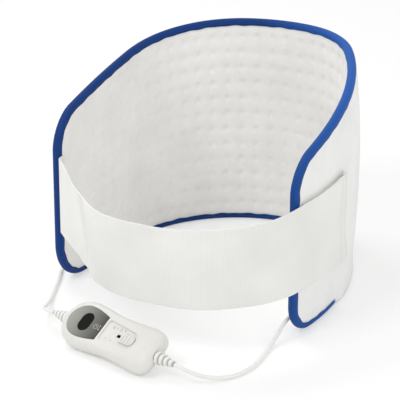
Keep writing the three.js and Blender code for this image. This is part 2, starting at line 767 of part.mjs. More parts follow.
const fasciaTop = CASE_HEIGHT + FASCIA_PROUD;
const fasciaLow = fasciaTop - FASCIA_THICK;
const recessFloor = CASE_HEIGHT - RECESS_DEPTH;
const above = CASE_HEIGHT + 5;
const moduleSize = [DISPLAY[0] - 1, DISPLAY[1] - 1];

function upperShell() {
  const outer = rings([[upperLow, 0], [15, 0.3], [19, 1.1], [21.5, 2.6], [22.6, 4.5], [CASE_HEIGHT, 7.2]]);
  const inner = rings([[caseTopInside, 7.5], [20, 5], [18.5, 3.3], [15, 2.3], [upperLow, CASE_WALL]]);
  const skin = loft([...inner, ...outer]);
  const additions = [];
  const cuts = [
    reliefHole(-1),
    reliefHole(1),
    plate(fasciaShape(GAP), fasciaLow - GAP, above),
    plate(recessShape(), recessFloor, above, 4),
    box(displayPlace - moduleSize[0] / 2 - GAP, displayPlace + moduleSize[0] / 2 + GAP,
      -moduleSize[1] / 2 - GAP, moduleSize[1] / 2 + GAP, caseTopInside - 1, above),
    box(SLIDER_REST - SLIDER_TRAVEL - STEM[0] / 2 - GAP, SLIDER_REST + STEM[0] / 2 + GAP,
      -STEM[1] / 2 - GAP, STEM[1] / 2 + GAP, caseTopInside - 1, above),
  ];
  for (const side of [-1, 1]) {
    const x = side * screwPlace;
    additions.push(post(x, 0, CASE_PARTING - 0.2, caseTopInside + 0.3, BOSS));
    cuts.push(post(x, 0, CASE_PARTING - 1, screwTip + 1, screwHole));
  }
  return joined(skin, additions, cuts);
}

function fascia() {
  return joined(plate(fasciaShape(0), fasciaLow, fasciaTop), [], [plate(stadium(GAP), fasciaLow - 1, above)]);
}

// Ribbed thumb on a stem through the slot, with a foot inside and a pin down into the switch.
const footHigh = caseTopInside - GAP;
const pinLow = 13.4;

// What is taken off a corner of the thumb's far end to round it.
function thumbCorner(side) {
  const end = SLIDER_REST + THUMB[0] / 2;
  const edge = THUMB[1] / 2;
  const spare = 1;
  const shape = new THREE.Shape();
  shape.moveTo(end - THUMB_ROUND, edge + spare);
  shape.lineTo(end + spare, edge + spare);
  shape.lineTo(end + spare, edge - THUMB_ROUND);
  shape.lineTo(end, edge - THUMB_ROUND);
  shape.absarc(end - THUMB_ROUND, edge - THUMB_ROUND, THUMB_ROUND, 0, Math.PI / 2, false);
  const corner = plate(shape, recessFloor, above);
  return side > 0 ? corner : corner.rotateX(Math.PI).translate(0, 0, recessFloor + above);
}

function slider() {
  const [long, wide, tall] = THUMB;
  const low = recessFloor + GAP;
  const pitch = long / (2 * THUMB_RIBS + 1);
  const profile = new THREE.Shape();
  profile.moveTo(-long / 2, low);
  profile.lineTo(long / 2, low);
  for (let k = 0; k <= THUMB_RIBS; k += 1) {
    const x = long / 2 - 2 * k * pitch;
    profile.lineTo(x, low + tall - 0.9);
    profile.lineTo(x - pitch, low + tall - 0.9);
    if (k < THUMB_RIBS) {
      profile.lineTo(x - 1.2 * pitch, low + tall);
      profile.lineTo(x - 1.8 * pitch, low + tall);
    }
  }
  const thumb = new THREE.ExtrudeGeometry(profile, { depth: wide, bevelEnabled: false });
  thumb.rotateX(Math.PI / 2).translate(SLIDER_REST, wide / 2, 0);
  const footLow = footHigh - FOOT[2];
  const [stemLong, stemWide] = STEM;
  const stem = box(SLIDER_REST - stemLong / 2, SLIDER_REST + stemLong / 2, -stemWide / 2, stemWide / 2,
    footHigh - 0.5, low + 0.5);
  const foot = box(SLIDER_REST - FOOT[0] / 2, SLIDER_REST + FOOT[0] / 2, -FOOT[1] / 2, FOOT[1] / 2,
    footLow, footHigh);
  const pin = box(SLIDER_REST - 1.5, SLIDER_REST + 1.5, -1.2, 1.2, pinLow, footLow + 0.5);
  return joined(thumb, [stem, foot, pin], [thumbCorner(-1), thumbCorner(1)]);
}

const boardTop = BOARD_LOW + BOARD[2];
const seat = boardTop + GAP;

function circuitBoard() {
  const board = box(-BOARD[0] / 2, BOARD[0] / 2, -BOARD[1] / 2, BOARD[1] / 2, BOARD_LOW, boardTop);
  const holes = [-1, 1].map((side) => {
    return post(side * BOARD_POST[0], -side * BOARD_POST[1], BOARD_LOW - 1, boardTop + 1, screwHole, 12);
  });
  return joined(board, [], holes);
}

function switchBody() {
  const middle = SLIDER_REST - SLIDER_TRAVEL / 2;
  const reach = SLIDER_TRAVEL / 2 + 1.5 + GAP;
  const body = box(middle - reach - 2, middle + reach + 2, -4.5, 4.5, seat, seat + 6);
  const groove = box(middle - reach, middle + reach, -1.2 - GAP, 1.2 + GAP, pinLow - GAP, seat + 7);
  return joined(body, [], [groove]);
}

function screw(x, y, headLow, headHigh, tipLow, tipHigh) {
  const shaft = post(x, y, tipLow, tipHigh, SCREW_SHAFT, 8);
  return joined(shaft, [post(x, y, headLow, headHigh, SCREW_HEAD, 12)]);
}

const flangeSeat = halfLength - RELIEF_SEAT;

// Relief turned about X: inner flange, neck through the wall and ribs that taper towards the cord.
function relief(side) {
  const neck = RELIEF_HOLE / 2 - GAP;
  const [flange, flangeThick] = [RELIEF_FLANGE[0] / 2, RELIEF_FLANGE[1]];
  const profile = [[0, flangeSeat - flangeThick], [flange, flangeSeat - flangeThick], [flange, flangeSeat],
    [neck, flangeSeat], [neck, halfLength + GAP]];
  const pitch = (RELIEF_LENGTH - GAP) / RELIEF_RIBS;
  for (let k = 0; k < RELIEF_RIBS; k += 1) {
    const radius = lerp(RELIEF_WIDE, RELIEF_NARROW, k / (RELIEF_RIBS - 1)) / 2;
    const groove = radius - RELIEF_GROOVE;
    const x = halfLength + GAP + k * pitch;
    const ribEnd = x + RELIEF_RIB_SHARE * pitch;
    profile.push([radius, x], [radius - RELIEF_RIB_TAPER, ribEnd], [groove, ribEnd], [groove, x + pitch]);
  }
  profile.push([0, halfLength + RELIEF_LENGTH]);
  const points = profile.map(([radius, x]) => new THREE.Vector2(radius, x));
  const turned = closed(new THREE.LatheGeometry(points, RELIEF_SIDES));
  return turned.rotateZ(-side * Math.PI / 2).translate(0, 0, CASE_PARTING + GAP / 2);
}

function leadWire(points) {
  const line = new THREE.CatmullRomCurve3(points.map((point) => new THREE.Vector3(...point)));
  return ringTube(line.getPoints(10), LEAD_WIRE / 2, 6);
}

const wireStart = flangeSeat - RELIEF_FLANGE[1] - 2 * GAP;
const wireHigh = seat + 2;
const terminalMains = [-20, -12];
const terminalPad = [BOARD[0] / 2 - 7, BOARD[0] / 2 - 0.5];
const terminalAcross = [-16.5, -9.5];

piece(controller, 'lower_shell', lowerShell(), PLASTIC_WHITE);
piece(controller, 'upper_shell', upperShell(), PLASTIC_WHITE);
piece(controller, 'fascia', fascia(), PLASTIC_GREY);
piece(controller, 'display_lens', plate(stadium(0), fasciaLow, fasciaTop + FASCIA_PROUD), LENS_BLACK);
const displayModule = box(displayPlace - moduleSize[0] / 2, displayPlace + moduleSize[0] / 2,
  -moduleSize[1] / 2, moduleSize[1] / 2, seat, fasciaLow - GAP);
piece(controller, 'display_module', displayModule, PLASTIC_DARK);
piece(controller, 'switch_slider', slider(), PLASTIC_WHITE);
piece(controller, 'circuit_board', circuitBoard(), BOARD_GREEN);
piece(controller, 'switch_body', switchBody(), PLASTIC_DARK);
const fuse = new THREE.CylinderGeometry(2.5, 2.5, 18, 12).rotateZ(Math.PI / 2);
piece(controller, 'fuse', closed(fuse.translate(0, 12, seat + 2.5)), finish(0xd8d2c0, 0.2));
piece(controller, 'triac', box(-6, 4, -14, -9.5, seat, seat + 8), PLASTIC_DARK);
piece(controller, 'capacitor', box(-6, 7, -2, 5, seat, seat + 8), finish(0xb08a3c, 0.5));
const mainsBlock = box(...terminalMains, ...terminalAcross, seat, seat + 7);
piece(controller, 'terminal_mains', mainsBlock, BOARD_GREEN);
piece(controller, 'terminal_pad', box(...terminalPad, ...terminalAcross, seat, seat + 7), BOARD_GREEN);
[['mains_wire_live', 0.4, -11.4, WIRE_BROWN], ['mains_wire_neutral', -4.0, -14.6, WIRE_BLUE]]
  .forEach(([name, from, to, material]) => {
    piece(controller, name, leadWire([
      [-wireStart, from, upperLow], [1.5 - wireStart, from - 0.3, upperLow], [6.4 - wireStart, to + 2.4, wireHigh],
      [20 - wireStart, to, wireHigh], [terminalMains[0] - GAP, to, wireHigh],
    ]), material);
  });
[['pad_wire_1', 0.4, -11.4, WIRE_RED], ['pad_wire_2', -4.0, -14.6, CORD_WHITE]]
  .forEach(([name, from, to, material]) => {
    piece(controller, name, leadWire([
      [wireStart, from, upperLow], [wireStart - 1.5, from - 0.3, upperLow], [wireStart - 5.4, to + 3, wireHigh],
      [wireStart - 9.4, to, wireHigh], [terminalPad[1] + GAP, to, wireHigh],
    ]), material);
  });
[-1, 1].forEach((side, k) => {
  const boardScrew = screw(side * BOARD_POST[0], -side * BOARD_POST[1], seat, seat + 1.5, 4, seat + 0.5);
  piece(controller, `pcb_screw_${k + 1}`, boardScrew, STEEL);
  const caseScrew = screw(side * screwPlace, 0, headSeat - GAP - 2, headSeat - GAP, 2, screwTip);
  piece(controller, `case_screw_${k + 1}`, caseScrew, STEEL);
});
piece(controller, 'strain_relief_mains', relief(-1), CORD_WHITE);
piece(controller, 'strain_relief_pad', relief(1), CORD_WHITE);

controller.rotation.set(degToRad(CASE_TILT), 0, -degToRad(CASE_TURN), 'ZXY');
controller.position.set(...CASE_PLACE, 0);
controller.updateMatrixWorld(true);
controller.position.z = -new THREE.Box3().setFromObject(controller, true).min.z;
controller.updateMatrixWorld(true);
product.add(controller);

const reliefEnd = (side) => {
  return controller.localToWorld(new THREE.Vector3(side * (halfLength + RELIEF_LENGTH), 0, CASE_PARTING + GAP / 2));
};
// Cords

// Tapered gland, wide where it is sewn and welded to the cover and narrow where the lead leaves it.
const glandBack = innerFace - GAP;
const leadOffset = glandBack - GLAND[2] / 2;

function gland() {
  const [long, tall, deep] = GLAND;
  const [from, to] = [padLength - GLAND_END - long, padLength - GLAND_END];
  const ring = (s, shrink) => {
    const up = tall / 2 - shrink;
    const [back, front] = [glandBack - shrink / 2, glandBack - deep + shrink / 2];
    return [[-up, back], [up, back], [up, front], [-up, front]]
      .map(([z, offset]) => onPad(s, GLAND_HEIGHT + z, offset));
  };
  return loft([ring(from, 1), ring(lerp(from, to, 0.2), 0), ring(lerp(from, to, 0.6), 0), ring(to, 2.4)]);
}

piece(product, 'lead_gland', gland(), CORD_WHITE);

function cord(points) {
  const line = new THREE.CatmullRomCurve3(points, false, 'centripetal');
  const section = new THREE.Shape();
  for (let k = 0; k < CORD_SIDES; k += 1) {
    const angle = (2 * Math.PI * (k + 0.5)) / CORD_SIDES;
    const x = (CORD / 2) * Math.cos(angle);
    const y = (CORD / 2) * Math.sin(angle);
    if (k === 0) {
      section.moveTo(x, y);
    } else {
      section.lineTo(x, y);
    }
  }
  const length = line.getLength();
  const steps = Math.ceil(length / (2.5 * CORD));
  console.log('cord of', Math.round(length), 'mm');
  return closed(new THREE.ExtrudeGeometry(section, { steps, extrudePath: line }));
}

const route = (list) => list.map(([x, y, z]) => new THREE.Vector3(x, y, z));
const outward = (side) => new THREE.Vector3(side, 0, 0).applyEuler(controller.rotation);
const floorCord = CORD / 2 + GAP;

const leadHole = onPad(padLength - GLAND_END + GAP, GLAND_HEIGHT, leadOffset);
const padLead = [
  reliefEnd(1).addScaledVector(outward(1), GAP),
  reliefEnd(1).addScaledVector(outward(1), 6),
  ...route([
    [-16, -211, 15.8], [-5, -210.5, 10.8], [7, -206.5, 6.2], [20, -201, 3.4], [32, -194, floorCord],
    [42.5, -184, floorCord], [52, -169, floorCord], [60.5, -149, floorCord], [67, -132, 3.4],
    [73, -118.5, 7], [79.2, -106.5, 12.3],
  ]),
  onPad(padLength - GLAND_END / 2, GLAND_HEIGHT - 1.5, leadOffset),
  onPad(padLength - GLAND_END + CORD, GLAND_HEIGHT, leadOffset),
  leadHole,
];
piece(cords, 'pad_lead', cord(padLead), CORD_WHITE);

// Spare length: it spirals in on the lower layer, climbs where the spiral turns and spirals out above.
const coilLow = TIE_THICK + GAP + CORD / 2;
const coilReverse = COIL_TURNS / 2 + 0.25;

function coilPoint(turn) {
  const radius = COIL_OUTER - COIL_PITCH * (turn < coilReverse ? turn : 2 * coilReverse - turn);
  const angle = degToRad(COIL_START) + 2 * Math.PI * turn;
  const climb = clamp((turn - coilReverse + 0.25) / 0.5, 0, 1);
  const x = COIL_CENTRE[0] + radius * Math.cos(angle);
  const y = COIL_CENTRE[1] + radius * Math.sin(angle);
  return new THREE.Vector3(x, y, coilLow + COIL_PITCH * climb);
}

function coilPoints() {
  const count = COIL_TURNS * COIL_STEPS;
  const turns = Array.from({ length: count + 1 }, (_, k) => coilPoint(k / COIL_STEPS));
  const before = turns[0].clone().sub(turns[1]).setLength(CORD).add(turns[0]);
  const after = turns[count].clone().sub(turns[count - 1]).setLength(CORD).add(turns[count]);
  return [before, ...turns, after];
}

const coil = coilPoints();

// Least gap between loops, measured from each point to the stretches more than half a turn away.
function leastGap(points) {
  const stretch = new THREE.Line3();
  const nearest = new THREE.Vector3();
  let least = Infinity;
  points.forEach((point, i) => {
    for (let k = i + COIL_STEPS / 2; k + 1 < points.length; k += 1) {
      stretch.set(points[k], points[k + 1]).closestPointToPoint(point, true, nearest);
      least = Math.min(least, nearest.distanceTo(point));
    }
  });
  return least - CORD;
}

console.log('least gap of the coil to itself', leastGap(coil).toFixed(2), 'mm');
piece(cords, 'mains_coil', ringTube(coil, CORD / 2, COIL_SIDES), CORD_WHITE);

const mainsLead = [
  reliefEnd(-1).addScaledVector(outward(-1), GAP),
  reliefEnd(-1).addScaledVector(outward(-1), 8),
  ...route([
    [-163.6, -74, 16.2], [-165.2, -62, 12.3], [-164, -49, 8.4], [-162.4, -35, 5],
    [-160.6, -19, floorCord], [-158.8, -2, floorCord], [-157, 14, floorCord], [-155.8, 27, floorCord],
    [-155.2, 40, floorCord], [-153.8, 54, floorCord], [-150.5, 67, floorCord], [-144.6, 78.5, floorCord],
    [-119.5, 111.7, floorCord], [-101, 137.7, floorCord],
  ]),
  coil[0].clone().sub(coil[1]).setLength(8).add(coil[0]),
  coil[0].clone().sub(coil[1]).setLength(GAP).add(coil[0]),
];
piece(cords, 'mains_lead', cord(mainsLead), CORD_WHITE);

// Flat tie round the loops, three quarters of a turn on from the coil's start.
function coilTie() {
  const [inner, outer] = [coilPoint(coilReverse - 0.5), coilPoint(0.75)].map((point) => {
    return point.setZ(0).distanceTo(new THREE.Vector3(...COIL_CENTRE, 0));
  });
  const slack = CORD / 2 + 2 * GAP;
  const [near, far] = [inner - slack, outer + slack];
  const [low, high] = [TIE_THICK, coilLow + COIL_PITCH + CORD / 2 + GAP];
  const outside = new THREE.Shape();
  outside.moveTo(near - TIE_THICK, 0);
  outside.lineTo(far + TIE_THICK, 0);
  outside.lineTo(far + TIE_THICK, high + TIE_THICK);
  outside.lineTo(near - TIE_THICK, high + TIE_THICK);
  const inside = new THREE.Path();
  inside.moveTo(near, low);
  inside.lineTo(far, low);
  inside.lineTo(far, high);
  inside.lineTo(near, high);
  outside.holes.push(inside);
  const band = new THREE.ExtrudeGeometry(outside, { depth: TIE_WIDE, bevelEnabled: false });
  band.rotateX(Math.PI / 2).translate(0, TIE_WIDE / 2, 0);
  band.rotateZ(degToRad(COIL_START + 270)).translate(...COIL_CENTRE, 0);
  return band;
}

piece(cords, 'cord_tie', closed(coilTie()), CORD_WHITE);

const coilEnd = coil[coil.length - 1];
const coilAway = coilEnd.clone().sub(coil[coil.length - 2]).normalize();
const plugPlace = new THREE.Vector3(...PLUG_PLACE, PLUG[2] / 2);
const plugAhead = new THREE.Vector3(Math.cos(degToRad(PLUG_TURN)), Math.sin(degToRad(PLUG_TURN)), 0);
const mainsTail = [
  coilEnd.clone().addScaledVector(coilAway, GAP),
  coilEnd.clone().addScaledVector(coilAway, 10),
  ...route([[-69.5, 183.2, 7.8], [-62, 191.3, 7]]),
  plugPlace.clone().addScaledVector(plugAhead, -5),
  plugPlace.clone().addScaledVector(plugAhead, -GAP),
];
piece(cords, 'mains_tail', cord(mainsTail), CORD_WHITE);

// Flat two-pin plug lying on its side.
const plug = new THREE.Group();
plug.position.copy(plugPlace);
plug.rotation.z = degToRad(PLUG_TURN);

function plugBody() {
  const [long, wide, thick] = PLUG;
  const shape = new THREE.Shape();
  shape.moveTo(0, -CORD);
  shape.bezierCurveTo(long / 3, -CORD, long / 3, -wide / 2, 2 * long / 3, -wide / 2);
  shape.lineTo(long, -wide / 2);
  shape.lineTo(long, wide / 2);
  shape.lineTo(2 * long / 3, wide / 2);
  shape.bezierCurveTo(long / 3, wide / 2, long / 3, CORD, 0, CORD);
  return closed(plate(shape, -thick / 2, thick / 2, 6));
}

piece(plug, 'plug_body', plugBody(), CORD_WHITE);
[-1, 1].forEach((side, k) => {
  const [thick, long, apart] = PIN;
  const pin = new THREE.CylinderGeometry(thick / 2, thick / 2, long, 12).rotateZ(Math.PI / 2);
  pin.translate(PLUG[0] + GAP + long / 2, (side * apart) / 2, 0);
  piece(plug, `plug_pin_${k + 1}`, closed(pin), STEEL);
});
cords.add(plug);

// Frame: the middle of the footprint is worked out without the cords.
const footprint = new THREE.Box3().setFromObject(product, true).getCenter(new THREE.Vector3());
product.add(cords);
product.position.set(-footprint.x, -footprint.y, 0);
console.log('frame moved by', product.position.x.toFixed(3), product.position.y.toFixed(3), 'mm');

export default product;
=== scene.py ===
import math

import bmesh
import bpy
from mathutils import Matrix, Vector


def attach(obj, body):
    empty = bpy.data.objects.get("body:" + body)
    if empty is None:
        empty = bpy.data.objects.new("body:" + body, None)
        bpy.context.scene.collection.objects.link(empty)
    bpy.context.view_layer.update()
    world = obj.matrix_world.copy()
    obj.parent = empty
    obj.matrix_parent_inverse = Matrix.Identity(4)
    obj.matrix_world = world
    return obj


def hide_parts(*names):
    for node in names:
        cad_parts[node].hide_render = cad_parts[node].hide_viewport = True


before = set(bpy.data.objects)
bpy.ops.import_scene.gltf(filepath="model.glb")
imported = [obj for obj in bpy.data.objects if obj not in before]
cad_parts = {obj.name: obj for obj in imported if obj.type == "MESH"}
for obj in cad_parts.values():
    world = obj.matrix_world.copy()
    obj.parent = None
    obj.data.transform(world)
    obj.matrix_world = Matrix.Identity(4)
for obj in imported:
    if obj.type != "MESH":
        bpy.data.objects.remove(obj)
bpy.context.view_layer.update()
MM = 0.001


# Studio: a pale sweep of floor under soft light, seen as the photograph sees it.
# The view looks slightly down on the ring from the front, from far away with a long lens.
VIEW_TARGET = Vector((2.2, 41.1, 0.0)) * MM
VIEW_DISTANCE = 2376 * MM
VIEW_ELEVATION = math.radians(25)
VIEW_AIM = (math.radians(1.98), math.radians(0.18))
VIEW_LENS = 198
FLOOR_WHITE = 0xFEFEFE
FLOOR_SIZE = 6.0
FLOOR_GLOW = 0.46
WORLD_LIGHT = 0.64
FAR_CLIP = 50


def linear(colour):
    channels = [((colour >> shift) & 255) / 255 for shift in (16, 8, 0)]
    return tuple(c / 12.92 if c <= 0.04045 else ((c + 0.055) / 1.055) ** 2.4 for c in channels) + (1.0,)


def node(tree, kind, values=None, links=None, **settings):
    made = tree.nodes.new(kind)
    for name, value in settings.items():
        setattr(made, name, value)
    for name, value in (values or {}).items():
        made.inputs[name].default_value = value
    for name, output in (links or {}).items():
        tree.links.new(output, made.inputs[name])
    return made


def add_piece(name, mesh):
    piece = bpy.data.objects.new(name, mesh)
    bpy.context.scene.collection.objects.link(piece)
    return piece


scene = bpy.context.scene
scene.view_settings.view_transform = "Standard"

camera_data = bpy.data.cameras.new("view")
camera_data.lens = VIEW_LENS
camera = bpy.data.objects.new("view", camera_data)
scene.collection.objects.link(camera)
toward = Vector((0, math.cos(VIEW_ELEVATION), -math.sin(VIEW_ELEVATION)))
camera.location = VIEW_TARGET - toward * VIEW_DISTANCE
camera.rotation_euler = (math.pi / 2 - VIEW_ELEVATION + VIEW_AIM[0], 0, VIEW_AIM[1])
camera_data.clip_end = FAR_CLIP
scene.camera = camera

world = bpy.data.worlds.new("studio")
world.use_nodes = True
world.node_tree.nodes["Background"].inputs["Color"].default_value = (1.0, 1.0, 1.0, 1.0)
world.node_tree.nodes["Background"].inputs["Strength"].default_value = WORLD_LIGHT
scene.world = world

LAMPS = [
    ("key", (-1.3, -1.1, 2.0), 0.9, 16.0),
    ("fill", (1.6, -1.2, 1.3), 1.4, 10.5),
    ("back", (-0.9, 1.0, 2.0), 1.0, 13.0),
]
for lamp_name, place, width, power in LAMPS:
    lamp_data = bpy.data.lights.new(lamp_name, "AREA")
    lamp_data.size = width
    lamp_data.energy = power
    lamp = bpy.data.objects.new(lamp_name, lamp_data)
    lamp.location = place
    lamp.rotation_euler = (VIEW_TARGET - Vector(place)).to_track_quat("-Z", "Y").to_euler()
    scene.collection.objects.link(lamp)

# Painted sweep: matt, and shown to the camera a little brighter so that it reads as white paper.
sweep = bpy.data.materials.new("white_paper_sweep")
sweep.use_nodes = True
tree = sweep.node_tree
tree.nodes.clear()
matt = node(tree, "ShaderNodeBsdfDiffuse", {"Color": linear(FLOOR_WHITE)})
glow = node(tree, "ShaderNodeEmission", {"Color": (1.0, 1.0, 1.0, 1.0), "Strength": 1.0})
ray = node(tree, "ShaderNodeLightPath")
share = node(tree, "ShaderNodeMath", {1: FLOOR_GLOW}, {0: ray.outputs["Is Camera Ray"]}, operation="MULTIPLY")
mixed = node(tree, "ShaderNodeMixShader", None,
             {"Fac": share.outputs[0], 1: matt.outputs[0], 2: glow.outputs[0]})
node(tree, "ShaderNodeOutputMaterial", None, {"Surface": mixed.outputs[0]})
floor_mesh = bpy.data.meshes.new("floor")
shape = bmesh.new()
bmesh.ops.create_grid(shape, x_segments=1, y_segments=1, size=FLOOR_SIZE / 2)
shape.to_mesh(floor_mesh)
shape.free()
floor_mesh.materials.append(sweep)
floor = add_piece("floor", floor_mesh)


# Leads: round white PVC flex, one from the pad to the controller and one for the mains.
# The mains lead's spare length is wound in two layers behind the pad and held by a flat tie.
CORD = 4.5
PAD_LEAD = [
    (-28.3, -204.1, 18.9), (-24.2, -207.9, 18.6), (-16, -211, 15.8), (-5, -210.5, 10.8), (7, -206.5, 6.2),
    (20, -201, 3.4), (32, -194, 2.5), (42.5, -184, 2.5), (52, -169, 2.5), (60.5, -149, 2.5),
    (67, -132, 3.4), (73, -118.5, 7), (79.2, -106.5, 12.3), (88.4, -91.1, 18.2), (93.1, -84.1, 19.7),
    (95.5, -80.6, 19.7),
]
MAINS_START = [
    (-153.1, -87.7, 18.9), (-158.7, -82.5, 18.6), (-163.6, -74, 16.2), (-165.2, -62, 12.3), (-164, -49, 8.4),
    (-162.4, -35, 5), (-160.6, -19, 2.5), (-158.8, -2, 2.5), (-157, 14, 2.5), (-155.8, 27, 2.5),
    (-155.2, 40, 2.5), (-153.8, 54, 2.5), (-150.5, 67, 2.5), (-144.6, 78.5, 2.5), (-119.5, 111.7, 2.5),
    (-101, 137.7, 2.5), (-92.9, 148.7, 3.3),
]
MAINS_TAIL = [
    (-78.4, 171.4, 8.3), (-69.5, 183.2, 7.8), (-62, 191.3, 7), (-51.2, 198.8, 6.9), (-47, 200.8, 6.9),
]
COIL_CENTRE = (-115, 181.7)
COIL_OUTER = 37
COIL_PITCH = 5
COIL_LOW = 3.35
COIL_TURNS = 8
COIL_CLIMB = 0.5
COIL_START = math.radians(-38)
COIL_STEPS = 20


# The coil winds inwards on the floor, climbs one cord at its inner turn and winds outwards on top.
def coil_point(turn):
    turning = (COIL_TURNS + COIL_CLIMB) / 2
    radius = COIL_OUTER - COIL_PITCH * (turn if turn < turning else 2 * turning - turn)
    climb = min(max((turn - turning + COIL_CLIMB / 2) / COIL_CLIMB, 0), 1)
    angle = COIL_START + 2 * math.pi * turn
    x = COIL_CENTRE[0] + radius * math.cos(angle)
    y = COIL_CENTRE[1] + radius * math.sin(angle)
    return (x, y, COIL_LOW + COIL_PITCH * climb)


# Flexible PVC, extruded: smooth and softly glossy, with a faint waviness from the cores inside.
pvc = bpy.data.materials.new("extruded_pvc_flex")
pvc.use_nodes = True
tree = pvc.node_tree
skin = tree.nodes["Principled BSDF"]
skin.inputs["Roughness"].default_value = 0.42
skin.inputs["IOR"].default_value = 1.53
place = node(tree, "ShaderNodeTexCoord")
waves = node(tree, "ShaderNodeTexNoise", {"Scale": 1 / (6 * MM), "Detail": 3.0},
             {"Vector": place.outputs["Object"]})
tint = node(tree, "ShaderNodeMix", {"A": linear(0xF4F4F1), "B": linear(0xE6E6E1)},
            {"Factor": waves.outputs["Fac"]}, data_type="RGBA")
tree.links.new(tint.outputs["Result"], skin.inputs["Base Color"])
bump = node(tree, "ShaderNodeBump", {"Strength": 0.15, "Distance": 0.3 * MM},
            {"Height": waves.outputs["Fac"]})
tree.links.new(bump.outputs["Normal"], skin.inputs["Normal"])


def lay_cord(name, points):
    curve = bpy.data.curves.new(name, "CURVE")
    curve.dimensions = "3D"
    curve.bevel_depth = CORD / 2 * MM
    curve.bevel_resolution = 4
    curve.resolution_u = 5
    curve.use_fill_caps = True
    curve.materials.append(pvc)
    spline = curve.splines.new("BEZIER")
    spline.bezier_points.add(len(points) - 1)
    for knot, point in zip(spline.bezier_points, points):
        knot.co = Vector(point) * MM
        knot.handle_left_type = "AUTO"
        knot.handle_right_type = "AUTO"
    return add_piece(name, curve)


pad_flex = lay_cord("pad_flex", PAD_LEAD)
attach(pad_flex, "pad")
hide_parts("pad_lead")

coil_points = [coil_point(k / COIL_STEPS) for k in range(COIL_TURNS * COIL_STEPS + 1)]
mains_flex = lay_cord("mains_flex", MAINS_START + coil_points + MAINS_TAIL)
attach(mains_flex, "pad")
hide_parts("mains_lead", "mains_coil", "mains_tail")


# Pad inner face: soft napped cloth welded to its filling by a grid of small sewn dots.
# It runs from the left end round the back to the right end, under the binding on every side.
PAD_START = (-155.4, 15.7)
PAD_HEADING = 61
PAD_END_FLAT = 32
PAD_STRETCHES = [
    (PAD_END_FLAT, 0), (60, -3.5), (106, 0), (140, -88.5), (93, -53.5), (290, -39.5), (PAD_END_FLAT, 0),
]
PAD_HEIGHT_MIDDLE = 238
PAD_HEIGHT_ENDS = 184
PAD_LEVEL_TOP = 84
CORNER_RADIUS = 32
LOW_LEFT_RADIUS = 46
COVER_INSET = 1.0
TAPE = 0.7
INNER_FACE = -3.6
INNER_COVER = 1.2
QUILT_COLUMNS = 36
QUILT_ROWS = 13
QUILT_BORDER = 49
QUILT_EDGE_ROWS = 0.3
QUILT_FADE_ROWS = 0.5
DOT_DEPTH = 1.9
DOT_REACH = 2.1
PUFF = 1.1
INNER_GRID = (360, 128)
WELD = 0.01
FLEECE_PATCH = 45


def step_along(pose, curvature, length):
    x, y, heading = pose
    if curvature == 0:
        return (x + length * math.cos(heading), y + length * math.sin(heading), heading)
    turned = heading + curvature * length
    return (x + (math.sin(turned) - math.sin(heading)) / curvature,
            y - (math.cos(turned) - math.cos(heading)) / curvature, turned)


# A stretch is a straight length with no turn, or a radius and the angle that it turns through.
def plan_curve(start, heading, stretches):
    pose = (start[0], start[1], math.radians(heading))
    length = 0
    pieces = []
    for size, turn in stretches:
        span = size if turn == 0 else size * abs(math.radians(turn))
        curvature = 0 if turn == 0 else math.copysign(1 / size, turn)
        pieces.append((length, pose, curvature))
        pose = step_along(pose, curvature, span)
        length += span
    return length, pieces


def on_curve(pieces, s):
    first, pose, curvature = [piece for piece in pieces if piece[0] <= s or piece is pieces[0]][-1]
    return step_along(pose, curvature, s - first)


pad_length, pad_pieces = plan_curve(PAD_START, PAD_HEADING, PAD_STRETCHES)


def on_pad(s, z, offset):
    x, y, heading = on_curve(pad_pieces, s)
    return Vector((x - offset * math.sin(heading), y + offset * math.cos(heading), z + TAPE)) * MM


def arch_height(s):
    level = PAD_LEVEL_TOP / 2
    fall = max(0, (abs(s - pad_length / 2) - level) / (pad_length / 2 - level))
    return PAD_HEIGHT_MIDDLE - (PAD_HEIGHT_MIDDLE - PAD_HEIGHT_ENDS) * fall ** 2


def corner_drop(s, inset, left_radius):
    corner = left_radius if s < pad_length / 2 else CORNER_RADIUS
    reach = corner - min(s, pad_length - s)
    if reach <= 0:
        return 0
    radius = corner - inset
    return radius - math.sqrt(max(0, radius ** 2 - reach ** 2))


def cover_place(u, v, inset):
    s = inset + u * (pad_length - 2 * inset)
    low = inset + corner_drop(s, inset, LOW_LEFT_RADIUS)
    high = arch_height(s) - inset - corner_drop(s, inset, CORNER_RADIUS)
    return s, low + v * (high - low)


# A sheet is cut as a flat grid one unit each way, and each corner of it is then carried to its place.
def cut_sheet(name, grid, put, turn_over=False):
    shape = bmesh.new()
    shape.loops.layers.uv.new("cloth")
    columns, rows = grid
    bmesh.ops.create_grid(shape, x_segments=columns, y_segments=rows, size=0.5, calc_uvs=True)
    for vertex in shape.verts:
        vertex.co = put(vertex.co.x + 0.5, vertex.co.y + 0.5)
    bmesh.ops.remove_doubles(shape, verts=shape.verts, dist=WELD * MM)
    if turn_over:
        bmesh.ops.reverse_faces(shape, faces=shape.faces)
    for face in shape.faces:
        face.smooth = True
    mesh = bpy.data.meshes.new(name)
    shape.to_mesh(mesh)
    shape.free()
    return add_piece(name, mesh)


def thicken(piece, thickness, offset=-1.0):
    solid = piece.modifiers.new("thickness", "SOLIDIFY")
    solid.thickness = thickness * MM
    solid.offset = offset


quilt_step = (pad_length - 2 * PAD_END_FLAT) / QUILT_COLUMNS


